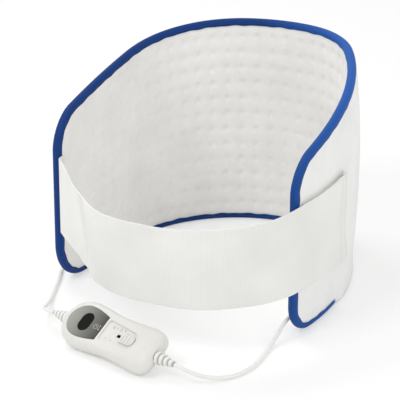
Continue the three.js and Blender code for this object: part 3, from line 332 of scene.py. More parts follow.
# Height of the quilting over the flat cloth: full between the dots and drawn in hard at each one.
def quilting(s, v):
    edge = min(s, pad_length - s)
    strength = min(max((edge - QUILT_BORDER + quilt_step / 2) / quilt_step, 0), 1)
    strength *= min(max((min(v, 1 - v) * QUILT_ROWS - QUILT_EDGE_ROWS) / QUILT_FADE_ROWS, 0), 1)
    column = (s - PAD_END_FLAT) / quilt_step
    across = (column - round(column)) * quilt_step
    up = (v * QUILT_ROWS - round(v * QUILT_ROWS)) * quilt_step
    dot = math.exp(-(across ** 2 + up ** 2) / (2 * DOT_REACH ** 2))
    puff = 0.5 * (math.sin(math.pi * column) ** 2 + math.sin(math.pi * v * QUILT_ROWS) ** 2)
    return strength * (PUFF * puff - DOT_DEPTH * dot)


def inner_place(u, v):
    s, z = cover_place(u, v, COVER_INSET)
    return on_pad(s, z, INNER_FACE - quilting(s, v))


# Brushed polyester fleece: a matt nap with short fibres that catch a little light at the edges.
def fleece_material(name, light, dark, nap):
    material = bpy.data.materials.new(name)
    material.use_nodes = True
    tree = material.node_tree
    skin = tree.nodes["Principled BSDF"]
    skin.inputs["Roughness"].default_value = 0.95
    skin.inputs["Sheen Weight"].default_value = 0.25
    skin.inputs["Sheen Roughness"].default_value = 0.5
    skin.inputs["Specular IOR Level"].default_value = 0.2
    place = node(tree, "ShaderNodeTexCoord")
    fibres = node(tree, "ShaderNodeTexNoise", {"Scale": 1 / (nap * MM), "Detail": 6.0, "Roughness": 0.7},
                  {"Vector": place.outputs["Object"]})
    patches = node(tree, "ShaderNodeTexNoise", {"Scale": 1 / (FLEECE_PATCH * MM), "Detail": 2.0},
                   {"Vector": place.outputs["Object"]})
    both = node(tree, "ShaderNodeMath", None, {0: fibres.outputs["Fac"], 1: patches.outputs["Fac"]},
                operation="MULTIPLY")
    spread = node(tree, "ShaderNodeMapRange", {"From Min": 0.12, "From Max": 0.38},
                  {"Value": both.outputs[0]})
    tint = node(tree, "ShaderNodeMix", {"A": linear(dark), "B": linear(light)},
                {"Factor": spread.outputs[0]}, data_type="RGBA")
    tree.links.new(tint.outputs["Result"], skin.inputs["Base Color"])
    bump = node(tree, "ShaderNodeBump", {"Strength": 0.35, "Distance": 0.5 * MM},
                {"Height": fibres.outputs["Fac"]})
    tree.links.new(bump.outputs["Normal"], skin.inputs["Normal"])
    return material


fleece_inner = fleece_material("brushed_fleece_inner", 0xF4F3F0, 0xEBEAE7, 1.6)
inner_cloth = cut_sheet("inner_cloth", INNER_GRID, inner_place)
thicken(inner_cloth, INNER_COVER)
inner_cloth.data.materials.append(fleece_inner)
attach(inner_cloth, "pad")
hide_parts("inner_cover")


# Pad outer face: the same fleece, plain, with the slight unevenness of the wires and felt under it.
# On the right, where the pad bends most, the loose outer cloth bellies out and hangs over the binding.
OUTER_FACE = 3.6
OUTER_COVER = 1.8
BELLY = 8.0
BELLY_PLACE = 204
BELLY_REACH = 52
HANG = 3.4
HANG_PLACE = (78, 240)
HANG_FADE = (35, 50)
HANG_HEIGHT = 1 / 3
BELLY_FULLNESS = 0.6
SWELL = 0.6
SWELL_ONSET = (12, 6)
LONG_SWELL = (0.5, 31, 27, 1.3)
SHORT_SWELL = (0.35, 17, 23)
OUTER_GRID = (200, 80)


def ease(value):
    share = min(max(value, 0), 1)
    return share * share * (3 - 2 * share)


def outer_place(u, v):
    s, z = cover_place(u, v, COVER_INSET)
    inside = min(min(u, 1 - u) * SWELL_ONSET[0], min(v, 1 - v) * SWELL_ONSET[1], 1)
    size, along, up, start = LONG_SWELL
    swell = size * math.sin(s / along + start) * math.sin(z / up)
    size, along, up = SHORT_SWELL
    swell += size * math.sin(s / along - z / up)
    bulge = max(0, math.sin(math.pi * v)) ** BELLY_FULLNESS
    from_end = pad_length - s
    belly = BELLY * bulge * math.exp(-((from_end - BELLY_PLACE) / BELLY_REACH) ** 2)
    hang = HANG * ease((from_end - HANG_PLACE[0]) / HANG_FADE[0])
    hang *= ease((HANG_PLACE[1] - from_end) / HANG_FADE[1]) * ease(1 - v / HANG_HEIGHT)
    return on_pad(s, z, OUTER_FACE + SWELL * inside * swell + max(belly, hang))


fleece_outer = fleece_material("brushed_fleece_outer", 0xF3F3F1, 0xE8E8E5, 1.4)
outer_cloth = cut_sheet("outer_cloth", OUTER_GRID, outer_place, turn_over=True)
thicken(outer_cloth, OUTER_COVER)
outer_cloth.data.materials.append(fleece_outer)
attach(outer_cloth, "pad")
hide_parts("outer_cover")


# Binding: a blue woven tape folded over the pad's whole edge and sewn down with one row of stitches.
# It is rounded over the filling, a little loose, and ends on itself at the lower left corner.
TAPE_FLANGE = 6.3
TAPE_HALF = 4.7
TAPE_THICK = 0.8
TAPE_ROLL = 3.6
TAPE_FLAP_SHARE = 0.3
TAPE_SLACK = ((0.3, 61, 0), (0.25, 97, 1))
TAPE_PINCH = (0.55, 0.56, 0.16)
TAPE_GRID = (720, 28)
# The span along X over which the tape is painted paler, as painted light.
TAPE_PAINTED_LIGHT_SPAN = (60, 160)
STITCH_LENGTH = 2.6
STITCH_STEP = 3.6
STITCH_THICK = 0.35
STITCH_INSET = 2.4
STITCH_SINK = 0.5
STITCH_ARCH = ((0.0, -0.3), (0.2, 0.5), (0.5, 0.9), (0.8, 0.5), (1.0, -0.3))
STITCH_ROUND = ((-1, 0), (-0.5, 0.87), (0.5, 0.87), (1, 0))


# The edge runs round the pad at a given depth inside it: up the left end, over the top, down the
# right end and back along the floor, with a quarter circle at each corner, the last one wider.
def edge_place(turn, inset, offset):
    wider = LOW_LEFT_RADIUS - CORNER_RADIUS
    top = pad_length - 2 * CORNER_RADIUS
    right = PAD_HEIGHT_ENDS - 2 * CORNER_RADIUS
    left = right - wider
    corner = math.pi / 2 * CORNER_RADIUS
    radius = CORNER_RADIUS - inset
    spans = (left, corner, top, corner, right, corner, top - wider, math.pi / 2 * LOW_LEFT_RADIUS)
    t = (turn % 1) * sum(spans)
    right_s = pad_length - CORNER_RADIUS
    for kind, span in enumerate(spans):
        if t <= span or kind == len(spans) - 1:
            break
        t -= span
    angle = t / CORNER_RADIUS
    if kind == 0:
        rise = arch_height(inset) - CORNER_RADIUS - LOW_LEFT_RADIUS
        return on_pad(inset, LOW_LEFT_RADIUS + t * rise / left, offset)
    if kind == 1:
        s = CORNER_RADIUS - radius * math.cos(angle)
        return on_pad(s, arch_height(s) - CORNER_RADIUS + radius * math.sin(angle), offset)
    if kind == 2:
        s = CORNER_RADIUS + t
        return on_pad(s, arch_height(s) - inset, offset)
    if kind == 3:
        s = right_s + radius * math.sin(angle)
        return on_pad(s, arch_height(s) - CORNER_RADIUS + radius * math.cos(angle), offset)
    if kind == 4:
        s = pad_length - inset
        fall = arch_height(s) - 2 * CORNER_RADIUS
        return on_pad(s, arch_height(s) - CORNER_RADIUS - t * fall / right, offset)
    if kind == 5:
        return on_pad(right_s + radius * math.cos(angle), CORNER_RADIUS - radius * math.sin(angle), offset)
    if kind == 6:
        return on_pad(right_s - t, inset, offset)
    angle = t / LOW_LEFT_RADIUS
    radius = LOW_LEFT_RADIUS - inset
    s = LOW_LEFT_RADIUS - radius * math.sin(angle)
    return on_pad(s, LOW_LEFT_RADIUS - radius * math.cos(angle), offset)


# Across the tape: down one face, round the roll at the edge and up the other face.
def tape_section(v):
    flap = TAPE_FLANGE - TAPE_ROLL
    if v < TAPE_FLAP_SHARE:
        return TAPE_FLANGE - flap * v / TAPE_FLAP_SHARE, -TAPE_HALF
    if v > 1 - TAPE_FLAP_SHARE:
        return TAPE_FLANGE - flap * (1 - v) / TAPE_FLAP_SHARE, TAPE_HALF
    angle = (v - TAPE_FLAP_SHARE) / (1 - 2 * TAPE_FLAP_SHARE) * math.pi
    return TAPE_ROLL - (TAPE_ROLL + TAPE) * math.sin(angle), -TAPE_HALF * math.cos(angle)


def tape_place(u, v):
    inset, offset = tape_section(v)
    sewn = max(inset - TAPE_ROLL, 0) / (TAPE_FLANGE - TAPE_ROLL)
    slack = sum(size * math.sin(u * 2 * math.pi * waves + start) for size, waves, start in TAPE_SLACK)
    depth, line, reach = TAPE_PINCH
    pinch = depth * math.exp(-((sewn - line) / reach) ** 2)
    return edge_place(u, inset + slack * sewn, offset * (1 - pinch / TAPE_HALF))


# Woven polyester tape: fine ribs straight across it, deep blue, with a slight sheen on the fold.
# Towards the right end it is painted paler: painted light, where that part of the tape faces the light.
ribbon = bpy.data.materials.new("woven_polyester_tape")
ribbon.use_nodes = True
tree = ribbon.node_tree
skin = tree.nodes["Principled BSDF"]
skin.inputs["Roughness"].default_value = 0.62
skin.inputs["Specular IOR Level"].default_value = 0.2
skin.inputs["Sheen Weight"].default_value = 0.04
skin.inputs["Sheen Roughness"].default_value = 0.4
cloth = node(tree, "ShaderNodeUVMap", uv_map="cloth")
spread = node(tree, "ShaderNodeMapping", {"Scale": (1.0, 40.0, 1.0)}, {"Vector": cloth.outputs["UV"]})
ribs = node(tree, "ShaderNodeTexWave",
            {"Scale": 230.0, "Distortion": 0.6, "Detail": 2.0, "Detail Scale": 2.0},
            {"Vector": cloth.outputs["UV"]}, bands_direction="X")
wear = node(tree, "ShaderNodeTexNoise", {"Scale": 60.0, "Detail": 4.0}, {"Vector": spread.outputs["Vector"]})
tint = node(tree, "ShaderNodeMix", {"A": linear(0x06255C), "B": linear(0x10458E)},
            {"Factor": wear.outputs["Fac"]}, data_type="RGBA")
place = node(tree, "ShaderNodeTexCoord")
across = node(tree, "ShaderNodeSeparateXYZ", None, {"Vector": place.outputs["Object"]})
# Painted light: along X the deep blue is mixed towards a paler blue towards the right end.
painted_light_ramp = node(tree, "ShaderNodeMapRange", {"From Min": TAPE_PAINTED_LIGHT_SPAN[0] * MM, "From Max": TAPE_PAINTED_LIGHT_SPAN[1] * MM},
              {"Value": across.outputs["X"]})
painted_light_tint = node(tree, "ShaderNodeMix", {"B": linear(0x255EB0)},
            {"A": tint.outputs["Result"], "Factor": painted_light_ramp.outputs[0]}, data_type="RGBA")
tree.links.new(painted_light_tint.outputs["Result"], skin.inputs["Base Color"])
bump = node(tree, "ShaderNodeBump", {"Strength": 0.4, "Distance": 0.3 * MM}, {"Height": ribs.outputs["Fac"]})
tree.links.new(bump.outputs["Normal"], skin.inputs["Normal"])

binding_tape = cut_sheet("binding_tape", TAPE_GRID, tape_place)
thicken(binding_tape, TAPE_THICK)
binding_tape.data.materials.append(ribbon)
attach(binding_tape, "pad")
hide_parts("edge_binding")


# One stitch is a short thread that dips into the cloth at both ends; a row of them follows a line.
def sew(name, line, count, material):
    shape = bmesh.new()
    for k in range(count):
        first, last, out = line((k + 0.5) / count)
        run = (last - first).normalized()
        side = run.cross(out)
        rings = []
        for part, lift in STITCH_ARCH:
            middle = first.lerp(last, part) + out * lift * STITCH_THICK * MM
            rings.append([shape.verts.new(middle + STITCH_THICK * MM * (side * x + out * y))
                          for x, y in STITCH_ROUND])
        for near, far in zip(rings, rings[1:]):
            for a in range(len(STITCH_ROUND) - 1):
                shape.faces.new((near[a], near[a + 1], far[a + 1], far[a])).smooth = True
    mesh = bpy.data.meshes.new(name)
    shape.to_mesh(mesh)
    shape.free()
    mesh.materials.append(material)
    return add_piece(name, mesh)


# Spun sewing thread, twisted, so its surface is slightly fuzzy.
def thread_material(name, light, dark):
    material = bpy.data.materials.new(name)
    material.use_nodes = True
    tree = material.node_tree
    skin = tree.nodes["Principled BSDF"]
    skin.inputs["Roughness"].default_value = 0.7
    place = node(tree, "ShaderNodeTexCoord")
    twist = node(tree, "ShaderNodeTexNoise", {"Scale": 1 / (0.5 * MM), "Detail": 2.0},
                 {"Vector": place.outputs["Object"]})
    tint = node(tree, "ShaderNodeMix", {"A": linear(dark), "B": linear(light)},
                {"Factor": twist.outputs["Fac"]}, data_type="RGBA")
    tree.links.new(tint.outputs["Result"], skin.inputs["Base Color"])
    return material


blue_thread = thread_material("blue_spun_thread", 0x3158A4, 0x163478)
white_thread = thread_material("white_spun_thread", 0xF2F2EF, 0xDADAD5)
edge_length = 2 * (pad_length + PAD_HEIGHT_ENDS) - (8 - 2 * math.pi) * CORNER_RADIUS
edge_stitches = int(edge_length / STITCH_STEP)
stitch_line = TAPE_FLANGE - STITCH_INSET
for face_name, side in (("inner", -1), ("outer", 1)):
    def tape_line(u):
        half = STITCH_LENGTH / edge_length / 2
        depth = side * (TAPE_HALF - STITCH_SINK)
        first, last = (edge_place(u + step, stitch_line, depth) for step in (-half, half))
        out = edge_place(u, stitch_line, side * TAPE_HALF) - edge_place(u, stitch_line, 0)
        return first, last, out.normalized()

    row = sew("tape_stitches_" + face_name, tape_line, edge_stitches, blue_thread)
    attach(row, "pad")


# Belt: a smooth woven tab is sewn to the pad's left end and folds round it to the front. A wide
# elastic strap carries on from the tab to the right end, where hooks hold it to a patch of loops.
BELT_LOW = 60
BELT_WIDTH = 87
BELT_LEAN = 4
BELT_LOWER = (65, 57, 50)
BELT_UPPER = (149, 145.5, 146)
ANCHOR_FROM = -0.7
ANCHOR_TO = 9.3
ANCHOR_OFFSET = -5.7
ANCHOR_THICK = 1.6
FOLD = (-151.2, 11.53)
FOLD_GAP = 0.9
TAB_LENGTH = 100
TAB_THICK = 1.6
STRAP_THICK = 2.0
STRAP_ON_PAD = 7.7
BELT_HEADING = -71.5
BELT_LEFT = (82, 47.5)
BELT_RIGHT_RADIUS = 118
BELT_OVERLAP = 106
END_LIFT = (3.0, 20)
WAVES_START = (15, 40)
WAVES_STOP = (5, 60)
LEAN_FADE = 80
RIPPLES = ((0.8, 23, 2.2, 0), (0.6, 11, -3, 1))
RIPPLE_SHARE = 0.5
PUCKER = (0.9, 30, 6.5, 5)
END_LIFT_HEIGHT = 1 / 3
SEAM_GAP = 0.3
SEAM_MARGIN = 5
SEAM_CREASE = (0.5, 1.2)
HEM = 17
HEM_STEP = (0.8, 1.2)
HEM_MARGINS = (2.5, 5)
HEM_CREASE = (0.5, 0.9)
THREAD_SINK = 0.3
HEM_THREAD_RISE = 0.5
ROW_MARGIN = 0.02
ANCHOR_ROW_MARGIN = 0.03
LOOP_PATCH = (100, 12, 1.0, 4.9)
LOOP_PATCH_INSET = 3
HOOK_PATCH = (62, 5, 1.2)
HOOK_PATCH_INSET = 5
PATCH_GAP = 0.3
TAB_RIM = 0.6
STRAP_RIM = 0.7
ANCHOR_RIM = 0.5
PATCH_RIM = 0.35
TAB_GRID = (80, 36)
STRAP_GRID = (260, 40)
ANCHOR_GRID = (8, 30)
LOOP_GRID = (60, 50)
HOOK_GRID = (60, 40)

arrival = on_pad(pad_length, 0, STRAP_ON_PAD) / MM
pad_end_heading = PAD_HEADING + sum(turn for size, turn in PAD_STRETCHES)
right_turn = pad_end_heading + 180 - BELT_HEADING - BELT_LEFT[1]
bare_length, bare = plan_curve(FOLD, BELT_HEADING, [BELT_LEFT, (BELT_RIGHT_RADIUS, right_turn)])
bare_end = on_curve(bare, bare_length)
one = math.radians(BELT_HEADING)
two = math.radians(BELT_HEADING + BELT_LEFT[1])
missing = (arrival.x - bare_end[0], arrival.y - bare_end[1])
first_straight = (missing[0] * math.sin(two) - missing[1] * math.cos(two)) / math.sin(two - one)
second_straight = (missing[1] * math.cos(one) - missing[0] * math.sin(one)) / math.sin(two - one)
free_length, belt_pieces = plan_curve(FOLD, BELT_HEADING, [
    (first_straight, 0), BELT_LEFT, (second_straight, 0), (BELT_RIGHT_RADIUS, right_turn)])
belt_length = free_length + BELT_OVERLAP


# A place on the belt, by its distance from the fold, its height and its depth towards the inner side.
def on_belt(d, z, depth):
    if d > free_length:
        return on_pad(pad_length - (d - free_length), z - TAPE, STRAP_ON_PAD - depth)
    x, y, heading = on_curve(belt_pieces, d)
    return Vector((x - depth * math.sin(heading), y + depth * math.cos(heading), z)) * MM


# The cloth gives between its ends: its top leans out, and shallow waves die out where it is sewn or held.
# At the free end the lower corner stands off the pad a little.
def belt_wave(d, v):
    free = ease((d - WAVES_START[0]) / WAVES_START[1])
    free *= ease((free_length - WAVES_STOP[0] - d) / WAVES_STOP[1])
    lean = BELT_LEAN * (1 - 2 * v) * ease(d / LEAN_FADE) * ease((free_length - d) / LEAN_FADE)
    ripples = sum(size * math.sin(d / wave + slant * v + start) for size, wave, slant, start in RIPPLES)
    size, spread, wave, slant = PUCKER
    pucker = size * math.exp(-((d - TAB_LENGTH) / spread) ** 2) * math.sin(d / wave + slant * v) * (1 - v)
    lift, reach = END_LIFT
    corner = lift * ease((d - belt_length + reach) / reach) * ease(1 - v / END_LIFT_HEIGHT)
    return lean - corner + free * (RIPPLE_SHARE * ripples + pucker)


# The belt sags in the middle: each edge passes through its heights at the fold, the middle and the end.
def belt_height(d, v):
    share = d / belt_length
    parts = ((1 - share) * (1 - 2 * share), 4 * share * (1 - share), share * (2 * share - 1))
    low = sum(part * height for part, height in zip(parts, BELT_LOWER))
    high = sum(part * height for part, height in zip(parts, BELT_UPPER))
    return low + v * (high - low)


# A row of stitches draws the cloth in along a narrow crease.
def crease(d, row_d, size):
    depth, reach = size
    return depth * math.exp(-((d - row_d) / reach) ** 2)


tab_row = TAB_LENGTH - SEAM_MARGIN
strap_row = TAB_LENGTH + SEAM_MARGIN
hem_row = belt_length - HEM + HEM_MARGINS[0]
end_row = belt_length - HEM_MARGINS[1]


def tab_place(u, v):
    d = FOLD_GAP + u * (TAB_LENGTH - FOLD_GAP)
    return on_belt(d, belt_height(d, v), crease(d, tab_row, SEAM_CREASE) + belt_wave(d, v))


def strap_place(u, v):
    start = TAB_LENGTH + SEAM_GAP
    d = start + u * (belt_length - start)
    rise, reach = HEM_STEP
    depth = -rise * ease((d - belt_length + HEM) / reach)
    depth += crease(d, hem_row, HEM_CREASE) + crease(d, end_row, HEM_CREASE)
    depth += crease(d, strap_row, SEAM_CREASE) + belt_wave(d, v)
    return on_belt(d, belt_height(d, v), depth)


def round_rim(piece, width):
    rim = piece.modifiers.new("rim", "BEVEL")
    rim.width = width * MM
    rim.segments = 2
    rim.limit_method = "ANGLE"
    rim.angle_limit = math.radians(50)


# Woven narrow cloth: fine threads both ways on the tab, and upright ribs where rubber is woven in. Soft
# cloudy patches of painted shade darken it towards grey.
def woven_material(name, light, dark, rib, weft, depth):
    material = bpy.data.materials.new(name)
    material.use_nodes = True
    tree = material.node_tree
    skin = tree.nodes["Principled BSDF"]
    skin.inputs["Roughness"].default_value = 0.85
    skin.inputs["Sheen Weight"].default_value = 0.2
    skin.inputs["Specular IOR Level"].default_value = 0.25
    cloth = node(tree, "ShaderNodeUVMap", uv_map="cloth")
    along = node(tree, "ShaderNodeTexWave",
                 {"Scale": rib, "Distortion": 1.2, "Detail": 2.0, "Detail Scale": 3.0},
                 {"Vector": cloth.outputs["UV"]}, bands_direction="X")
    across = node(tree, "ShaderNodeTexWave",
                  {"Scale": weft, "Distortion": 0.8, "Detail": 2.0, "Detail Scale": 3.0},
                  {"Vector": cloth.outputs["UV"]}, bands_direction="Y")
    place = node(tree, "ShaderNodeTexCoord")
    fuzz = node(tree, "ShaderNodeTexNoise", {"Scale": 1 / (2.2 * MM), "Detail": 5.0, "Roughness": 0.65},
                {"Vector": place.outputs["Object"]})
    weave = node(tree, "ShaderNodeMath", {1: 0.45}, {0: across.outputs["Fac"]}, operation="MULTIPLY")
    both = node(tree, "ShaderNodeMath", None, {0: along.outputs["Fac"], 1: weave.outputs[0]}, operation="ADD")
    height = node(tree, "ShaderNodeMath", None, {0: both.outputs[0], 1: fuzz.outputs["Fac"]}, operation="ADD")
    shade = node(tree, "ShaderNodeMapRange", {"From Min": 0.4, "From Max": 1.9}, {"Value": height.outputs[0]})
    tint = node(tree, "ShaderNodeMix", {"A": linear(dark), "B": linear(light)},
                {"Factor": shade.outputs[0]}, data_type="RGBA")
    # Painted shade: noise patches 60 mm across mix the cloth up to half way towards a grey.
    patches = node(tree, "ShaderNodeTexNoise", {"Scale": 1 / (60 * MM), "Detail": 2.0},
                   {"Vector": place.outputs["Object"]})
    painted_shade_patches = node(tree, "ShaderNodeMapRange", {"From Min": 0.3, "From Max": 0.7, "To Max": 0.5},
                {"Value": patches.outputs["Fac"]})
    cloud = node(tree, "ShaderNodeMix", {"B": linear(0xDCDBD8)},
                 {"A": tint.outputs["Result"], "Factor": painted_shade_patches.outputs[0]}, data_type="RGBA")
    tree.links.new(cloud.outputs["Result"], skin.inputs["Base Color"])
    bump = node(tree, "ShaderNodeBump", {"Strength": depth, "Distance": 0.4 * MM},
                {"Height": height.outputs[0]})
    tree.links.new(bump.outputs["Normal"], skin.inputs["Normal"])
    return material


tab_weave = woven_material("plain_woven_tab", 0xF2F2EF, 0xE9E9E5, 32.0, 29.0, 0.15)
elastic_weave = woven_material("ribbed_elastic", 0xF0F0ED, 0xE7E7E3, 52.0, 14.0, 0.18)
belt_tab = cut_sheet("woven_tab", TAB_GRID, tab_place)
thicken(belt_tab, TAB_THICK, 0.0)
round_rim(belt_tab, TAB_RIM)
belt_tab.data.materials.append(tab_weave)
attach(belt_tab, "belt")
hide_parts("belt_tab")

belt_strap = cut_sheet("elastic_strap", STRAP_GRID, strap_place)
thicken(belt_strap, STRAP_THICK, 0.0)
round_rim(belt_strap, STRAP_RIM)
belt_strap.data.materials.append(elastic_weave)
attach(belt_strap, "belt")
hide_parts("belt_strap")


def anchor_place(u, v):
    return on_pad(ANCHOR_FROM + u * (ANCHOR_TO - ANCHOR_FROM), belt_height(0, v) - TAPE, ANCHOR_OFFSET)


anchor_cloth = cut_sheet("anchor_cloth", ANCHOR_GRID, anchor_place)
thicken(anchor_cloth, ANCHOR_THICK, 0.0)
round_rim(anchor_cloth, ANCHOR_RIM)
anchor_cloth.data.materials.append(tab_weave)
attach(anchor_cloth, "pad")
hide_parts("belt_anchor")

# Rows of stitches: both sides of the tab's seam, two along the hem, and one on the anchor.
hem_thread = -STRAP_THICK / 2 - HEM_THREAD_RISE
belt_rows = [(tab_row, -TAB_THICK / 2 + THREAD_SINK), (strap_row, -STRAP_THICK / 2 + THREAD_SINK),
             (hem_row, hem_thread), (end_row, hem_thread)]
row_stitches = int((1 - 2 * ROW_MARGIN) * BELT_WIDTH / STITCH_STEP)
for number, (row_d, depth) in enumerate(belt_rows):
    def belt_line(u):
        v = ROW_MARGIN + (1 - 2 * ROW_MARGIN) * u
        z = belt_height(row_d, v)
        sag = belt_wave(row_d, v)
        first, last = (on_belt(row_d, z + step * STITCH_LENGTH / 2, depth + sag) for step in (-1, 1))
        return first, last, (on_belt(row_d, z, -1) - on_belt(row_d, z, 1)).normalized()

    row = sew("belt_stitches_%d" % number, belt_line, row_stitches, white_thread)
    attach(row, "belt")


def anchor_line(u):
    row_s = (ANCHOR_FROM + ANCHOR_TO) / 2
    z = belt_height(0, ANCHOR_ROW_MARGIN + (1 - 2 * ANCHOR_ROW_MARGIN) * u) - TAPE
    face = ANCHOR_OFFSET - ANCHOR_THICK / 2
    first, last = (on_pad(row_s, z + step * STITCH_LENGTH / 2, face) for step in (-1, 1))
    return first, last, (on_pad(row_s, z, -2) - on_pad(row_s, z, 0)).normalized()


anchor_stitches = int((1 - 2 * ANCHOR_ROW_MARGIN) * BELT_WIDTH / STITCH_STEP)
anchor_row = sew("anchor_stitches", anchor_line, anchor_stitches, white_thread)
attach(anchor_row, "pad")


# Fastener: a patch of looped pile on the pad, and a patch of stiff hooks on the inner side of the strap.
def loop_place(u, v):
    length, margin, thick, face = LOOP_PATCH
    s = pad_length - margin - length * (1 - u)
    z = BELT_LOW + LOOP_PATCH_INSET + v * (BELT_WIDTH - 2 * LOOP_PATCH_INSET)
    return on_pad(s, z, face - thick / 2)


def hook_place(u, v):
    length, margin, thick = HOOK_PATCH
    d = belt_length - margin - length * (1 - u)
    z = BELT_LOW + HOOK_PATCH_INSET + v * (BELT_WIDTH - 2 * HOOK_PATCH_INSET)
    return on_belt(d, z, STRAP_THICK / 2 + PATCH_GAP + thick / 2)


pile = fleece_material("looped_nylon_pile", 0xF1F1EE, 0xE0E0DC, 0.9)
hooks = fleece_material("woven_nylon_hooks", 0xEFEFEC, 0xD8D8D3, 0.7)
loop_cloth = cut_sheet("loop_cloth", LOOP_GRID, loop_place)
thicken(loop_cloth, LOOP_PATCH[2], 0.0)
round_rim(loop_cloth, PATCH_RIM)
loop_cloth.data.materials.append(pile)
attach(loop_cloth, "pad")
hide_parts("loop_patch")
hook_cloth = cut_sheet("hook_cloth", HOOK_GRID, hook_place)
thicken(hook_cloth, HOOK_PATCH[2], 0.0)
round_rim(hook_cloth, PATCH_RIM)
hook_cloth.data.materials.append(hooks)
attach(hook_cloth, "belt")
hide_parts("hook_patch")


# Controller: a two-part moulded case lying on its back in front of the pad, tipped up to the viewer.
# It has a grey fascia round a dark display, a shallow recess with a ribbed slide switch, and a
# ribbed rubber strain relief at each end.
CASE_PLACE = Vector((-86.5, -141.3, 9.68))
CASE_TURN = math.radians(-43)
CASE_TILT = math.radians(34)
CASE_FACE = 23.0
RELIEF_START = 63.3
RELIEF_PITCH = 5.425
RELIEF_RIB_SHARE = 0.62
FASCIA_FADE = (-54, -9)
FACET_WELD = 0.005
GLOSS_SPREAD = 0.06
case_frame = Matrix.Rotation(CASE_TURN, 4, "Z") @ Matrix.Rotation(CASE_TILT, 4, "X")


def on_case(x, y, z):
    return (CASE_PLACE + case_frame @ Vector((x, y, z))) * MM


# A smoothed copy of a moulded piece: its facets are joined up and shaded as one skin.
def smooth_copy(node_name, body, material, crease=40):
    shape = bmesh.new()
    shape.from_mesh(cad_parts[node_name].data)
    bmesh.ops.remove_doubles(shape, verts=shape.verts, dist=FACET_WELD * MM)
    for face in shape.faces:
        face.smooth = True
        face.material_index = 0
    for edge in shape.edges:
        edge.smooth = len(edge.link_faces) == 2 and edge.calc_face_angle(0) < math.radians(crease)
    mesh = bpy.data.meshes.new(node_name + "_moulding")
    shape.to_mesh(mesh)
    shape.free()
    mesh.materials.append(material)
    piece = add_piece(node_name + "_moulding", mesh)
    piece.matrix_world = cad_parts[node_name].matrix_world
    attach(piece, body)
    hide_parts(node_name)
    return piece


# Injection moulding: a plain colour with a very fine eroded grain and slightly uneven gloss.
def moulded_material(name, light, dark, gloss, grain, depth):
    material = bpy.data.materials.new(name)
    material.use_nodes = True
    tree = material.node_tree
    skin = tree.nodes["Principled BSDF"]
    place = node(tree, "ShaderNodeTexCoord")
    cloud = node(tree, "ShaderNodeTexNoise", {"Scale": 1 / (14 * MM), "Detail": 3.0},
                 {"Vector": place.outputs["Object"]})
    fine = node(tree, "ShaderNodeTexNoise", {"Scale": 1 / (grain * MM), "Detail": 3.0},
                {"Vector": place.outputs["Object"]})
    tint = node(tree, "ShaderNodeMix", {"A": linear(dark), "B": linear(light)},
                {"Factor": cloud.outputs["Fac"]}, data_type="RGBA")
    polish = node(tree, "ShaderNodeMapRange",
                  {"To Min": gloss - GLOSS_SPREAD, "To Max": gloss + GLOSS_SPREAD},
                  {"Value": cloud.outputs["Fac"]})
    bump = node(tree, "ShaderNodeBump", {"Strength": depth, "Distance": 0.1 * MM},
                {"Height": fine.outputs["Fac"]})
    tree.links.new(tint.outputs["Result"], skin.inputs["Base Color"])
    tree.links.new(polish.outputs[0], skin.inputs["Roughness"])
    tree.links.new(bump.outputs["Normal"], skin.inputs["Normal"])
    return material


white_abs = moulded_material("moulded_white_abs", 0xE5E4DF, 0xDBDAD4, 0.38, 0.5, 0.08)
white_rubber = moulded_material("moulded_white_pvc", 0xF0F0EC, 0xE3E3DE, 0.5, 0.8, 0.12)
black_gloss = moulded_material("smoked_acrylic", 0x1A1814, 0x100F0C, 0.14, 0.6, 0.02)
black_gloss.node_tree.nodes["Principled BSDF"].inputs["Specular IOR Level"].default_value = 0.15
for shell in ("lower_shell", "upper_shell"):
    smooth_copy(shell, "pad", white_abs)
smooth_copy("switch_slider", "slider", white_abs, 30)
smooth_copy("display_lens", "pad", black_gloss)
smooth_copy("lead_gland", "pad", white_rubber)

# The grooves between the ribs of a strain relief are painted greyer: painted shade, since little light gets
# in there.
ribbed_rubber = moulded_material("ribbed_white_pvc", 0xF0F0EC, 0xE3E3DE, 0.5, 0.8, 0.12)
tree = ribbed_rubber.node_tree
skin = tree.nodes["Principled BSDF"]
plain = skin.inputs["Base Color"].links[0].from_socket
place = node(tree, "ShaderNodeTexCoord")
middle = on_case(0, 0, 0)
along = (on_case(RELIEF_PITCH, 0, 0) - middle) / (RELIEF_PITCH * MM) ** 2
reach = node(tree, "ShaderNodeVectorMath", {1: along}, {0: place.outputs["Object"]}, operation="DOT_PRODUCT")
ends = node(tree, "ShaderNodeMath", {1: along.dot(middle)}, {0: reach.outputs["Value"]}, operation="SUBTRACT")
either = node(tree, "ShaderNodeMath", None, {0: ends.outputs[0]}, operation="ABSOLUTE")
count = node(tree, "ShaderNodeMath", {1: RELIEF_START / RELIEF_PITCH}, {0: either.outputs[0]},
             operation="SUBTRACT")
within = node(tree, "ShaderNodeMath", None, {0: count.outputs[0]}, operation="FRACT")
groove = node(tree, "ShaderNodeMath", {1: RELIEF_RIB_SHARE}, {0: within.outputs[0]},
              operation="GREATER_THAN")
# Painted shade: the groove bands along the relief's axis are mixed fully to a grey.
painted_groove_shade = node(tree, "ShaderNodeMix", {"B": linear(0xB4B4AF)}, {"A": plain, "Factor": groove.outputs[0]},
             data_type="RGBA")
tree.links.new(painted_groove_shade.outputs["Result"], skin.inputs["Base Color"])
for relief in ("strain_relief_mains", "strain_relief_pad"):
    smooth_copy(relief, "pad", ribbed_rubber, 15)

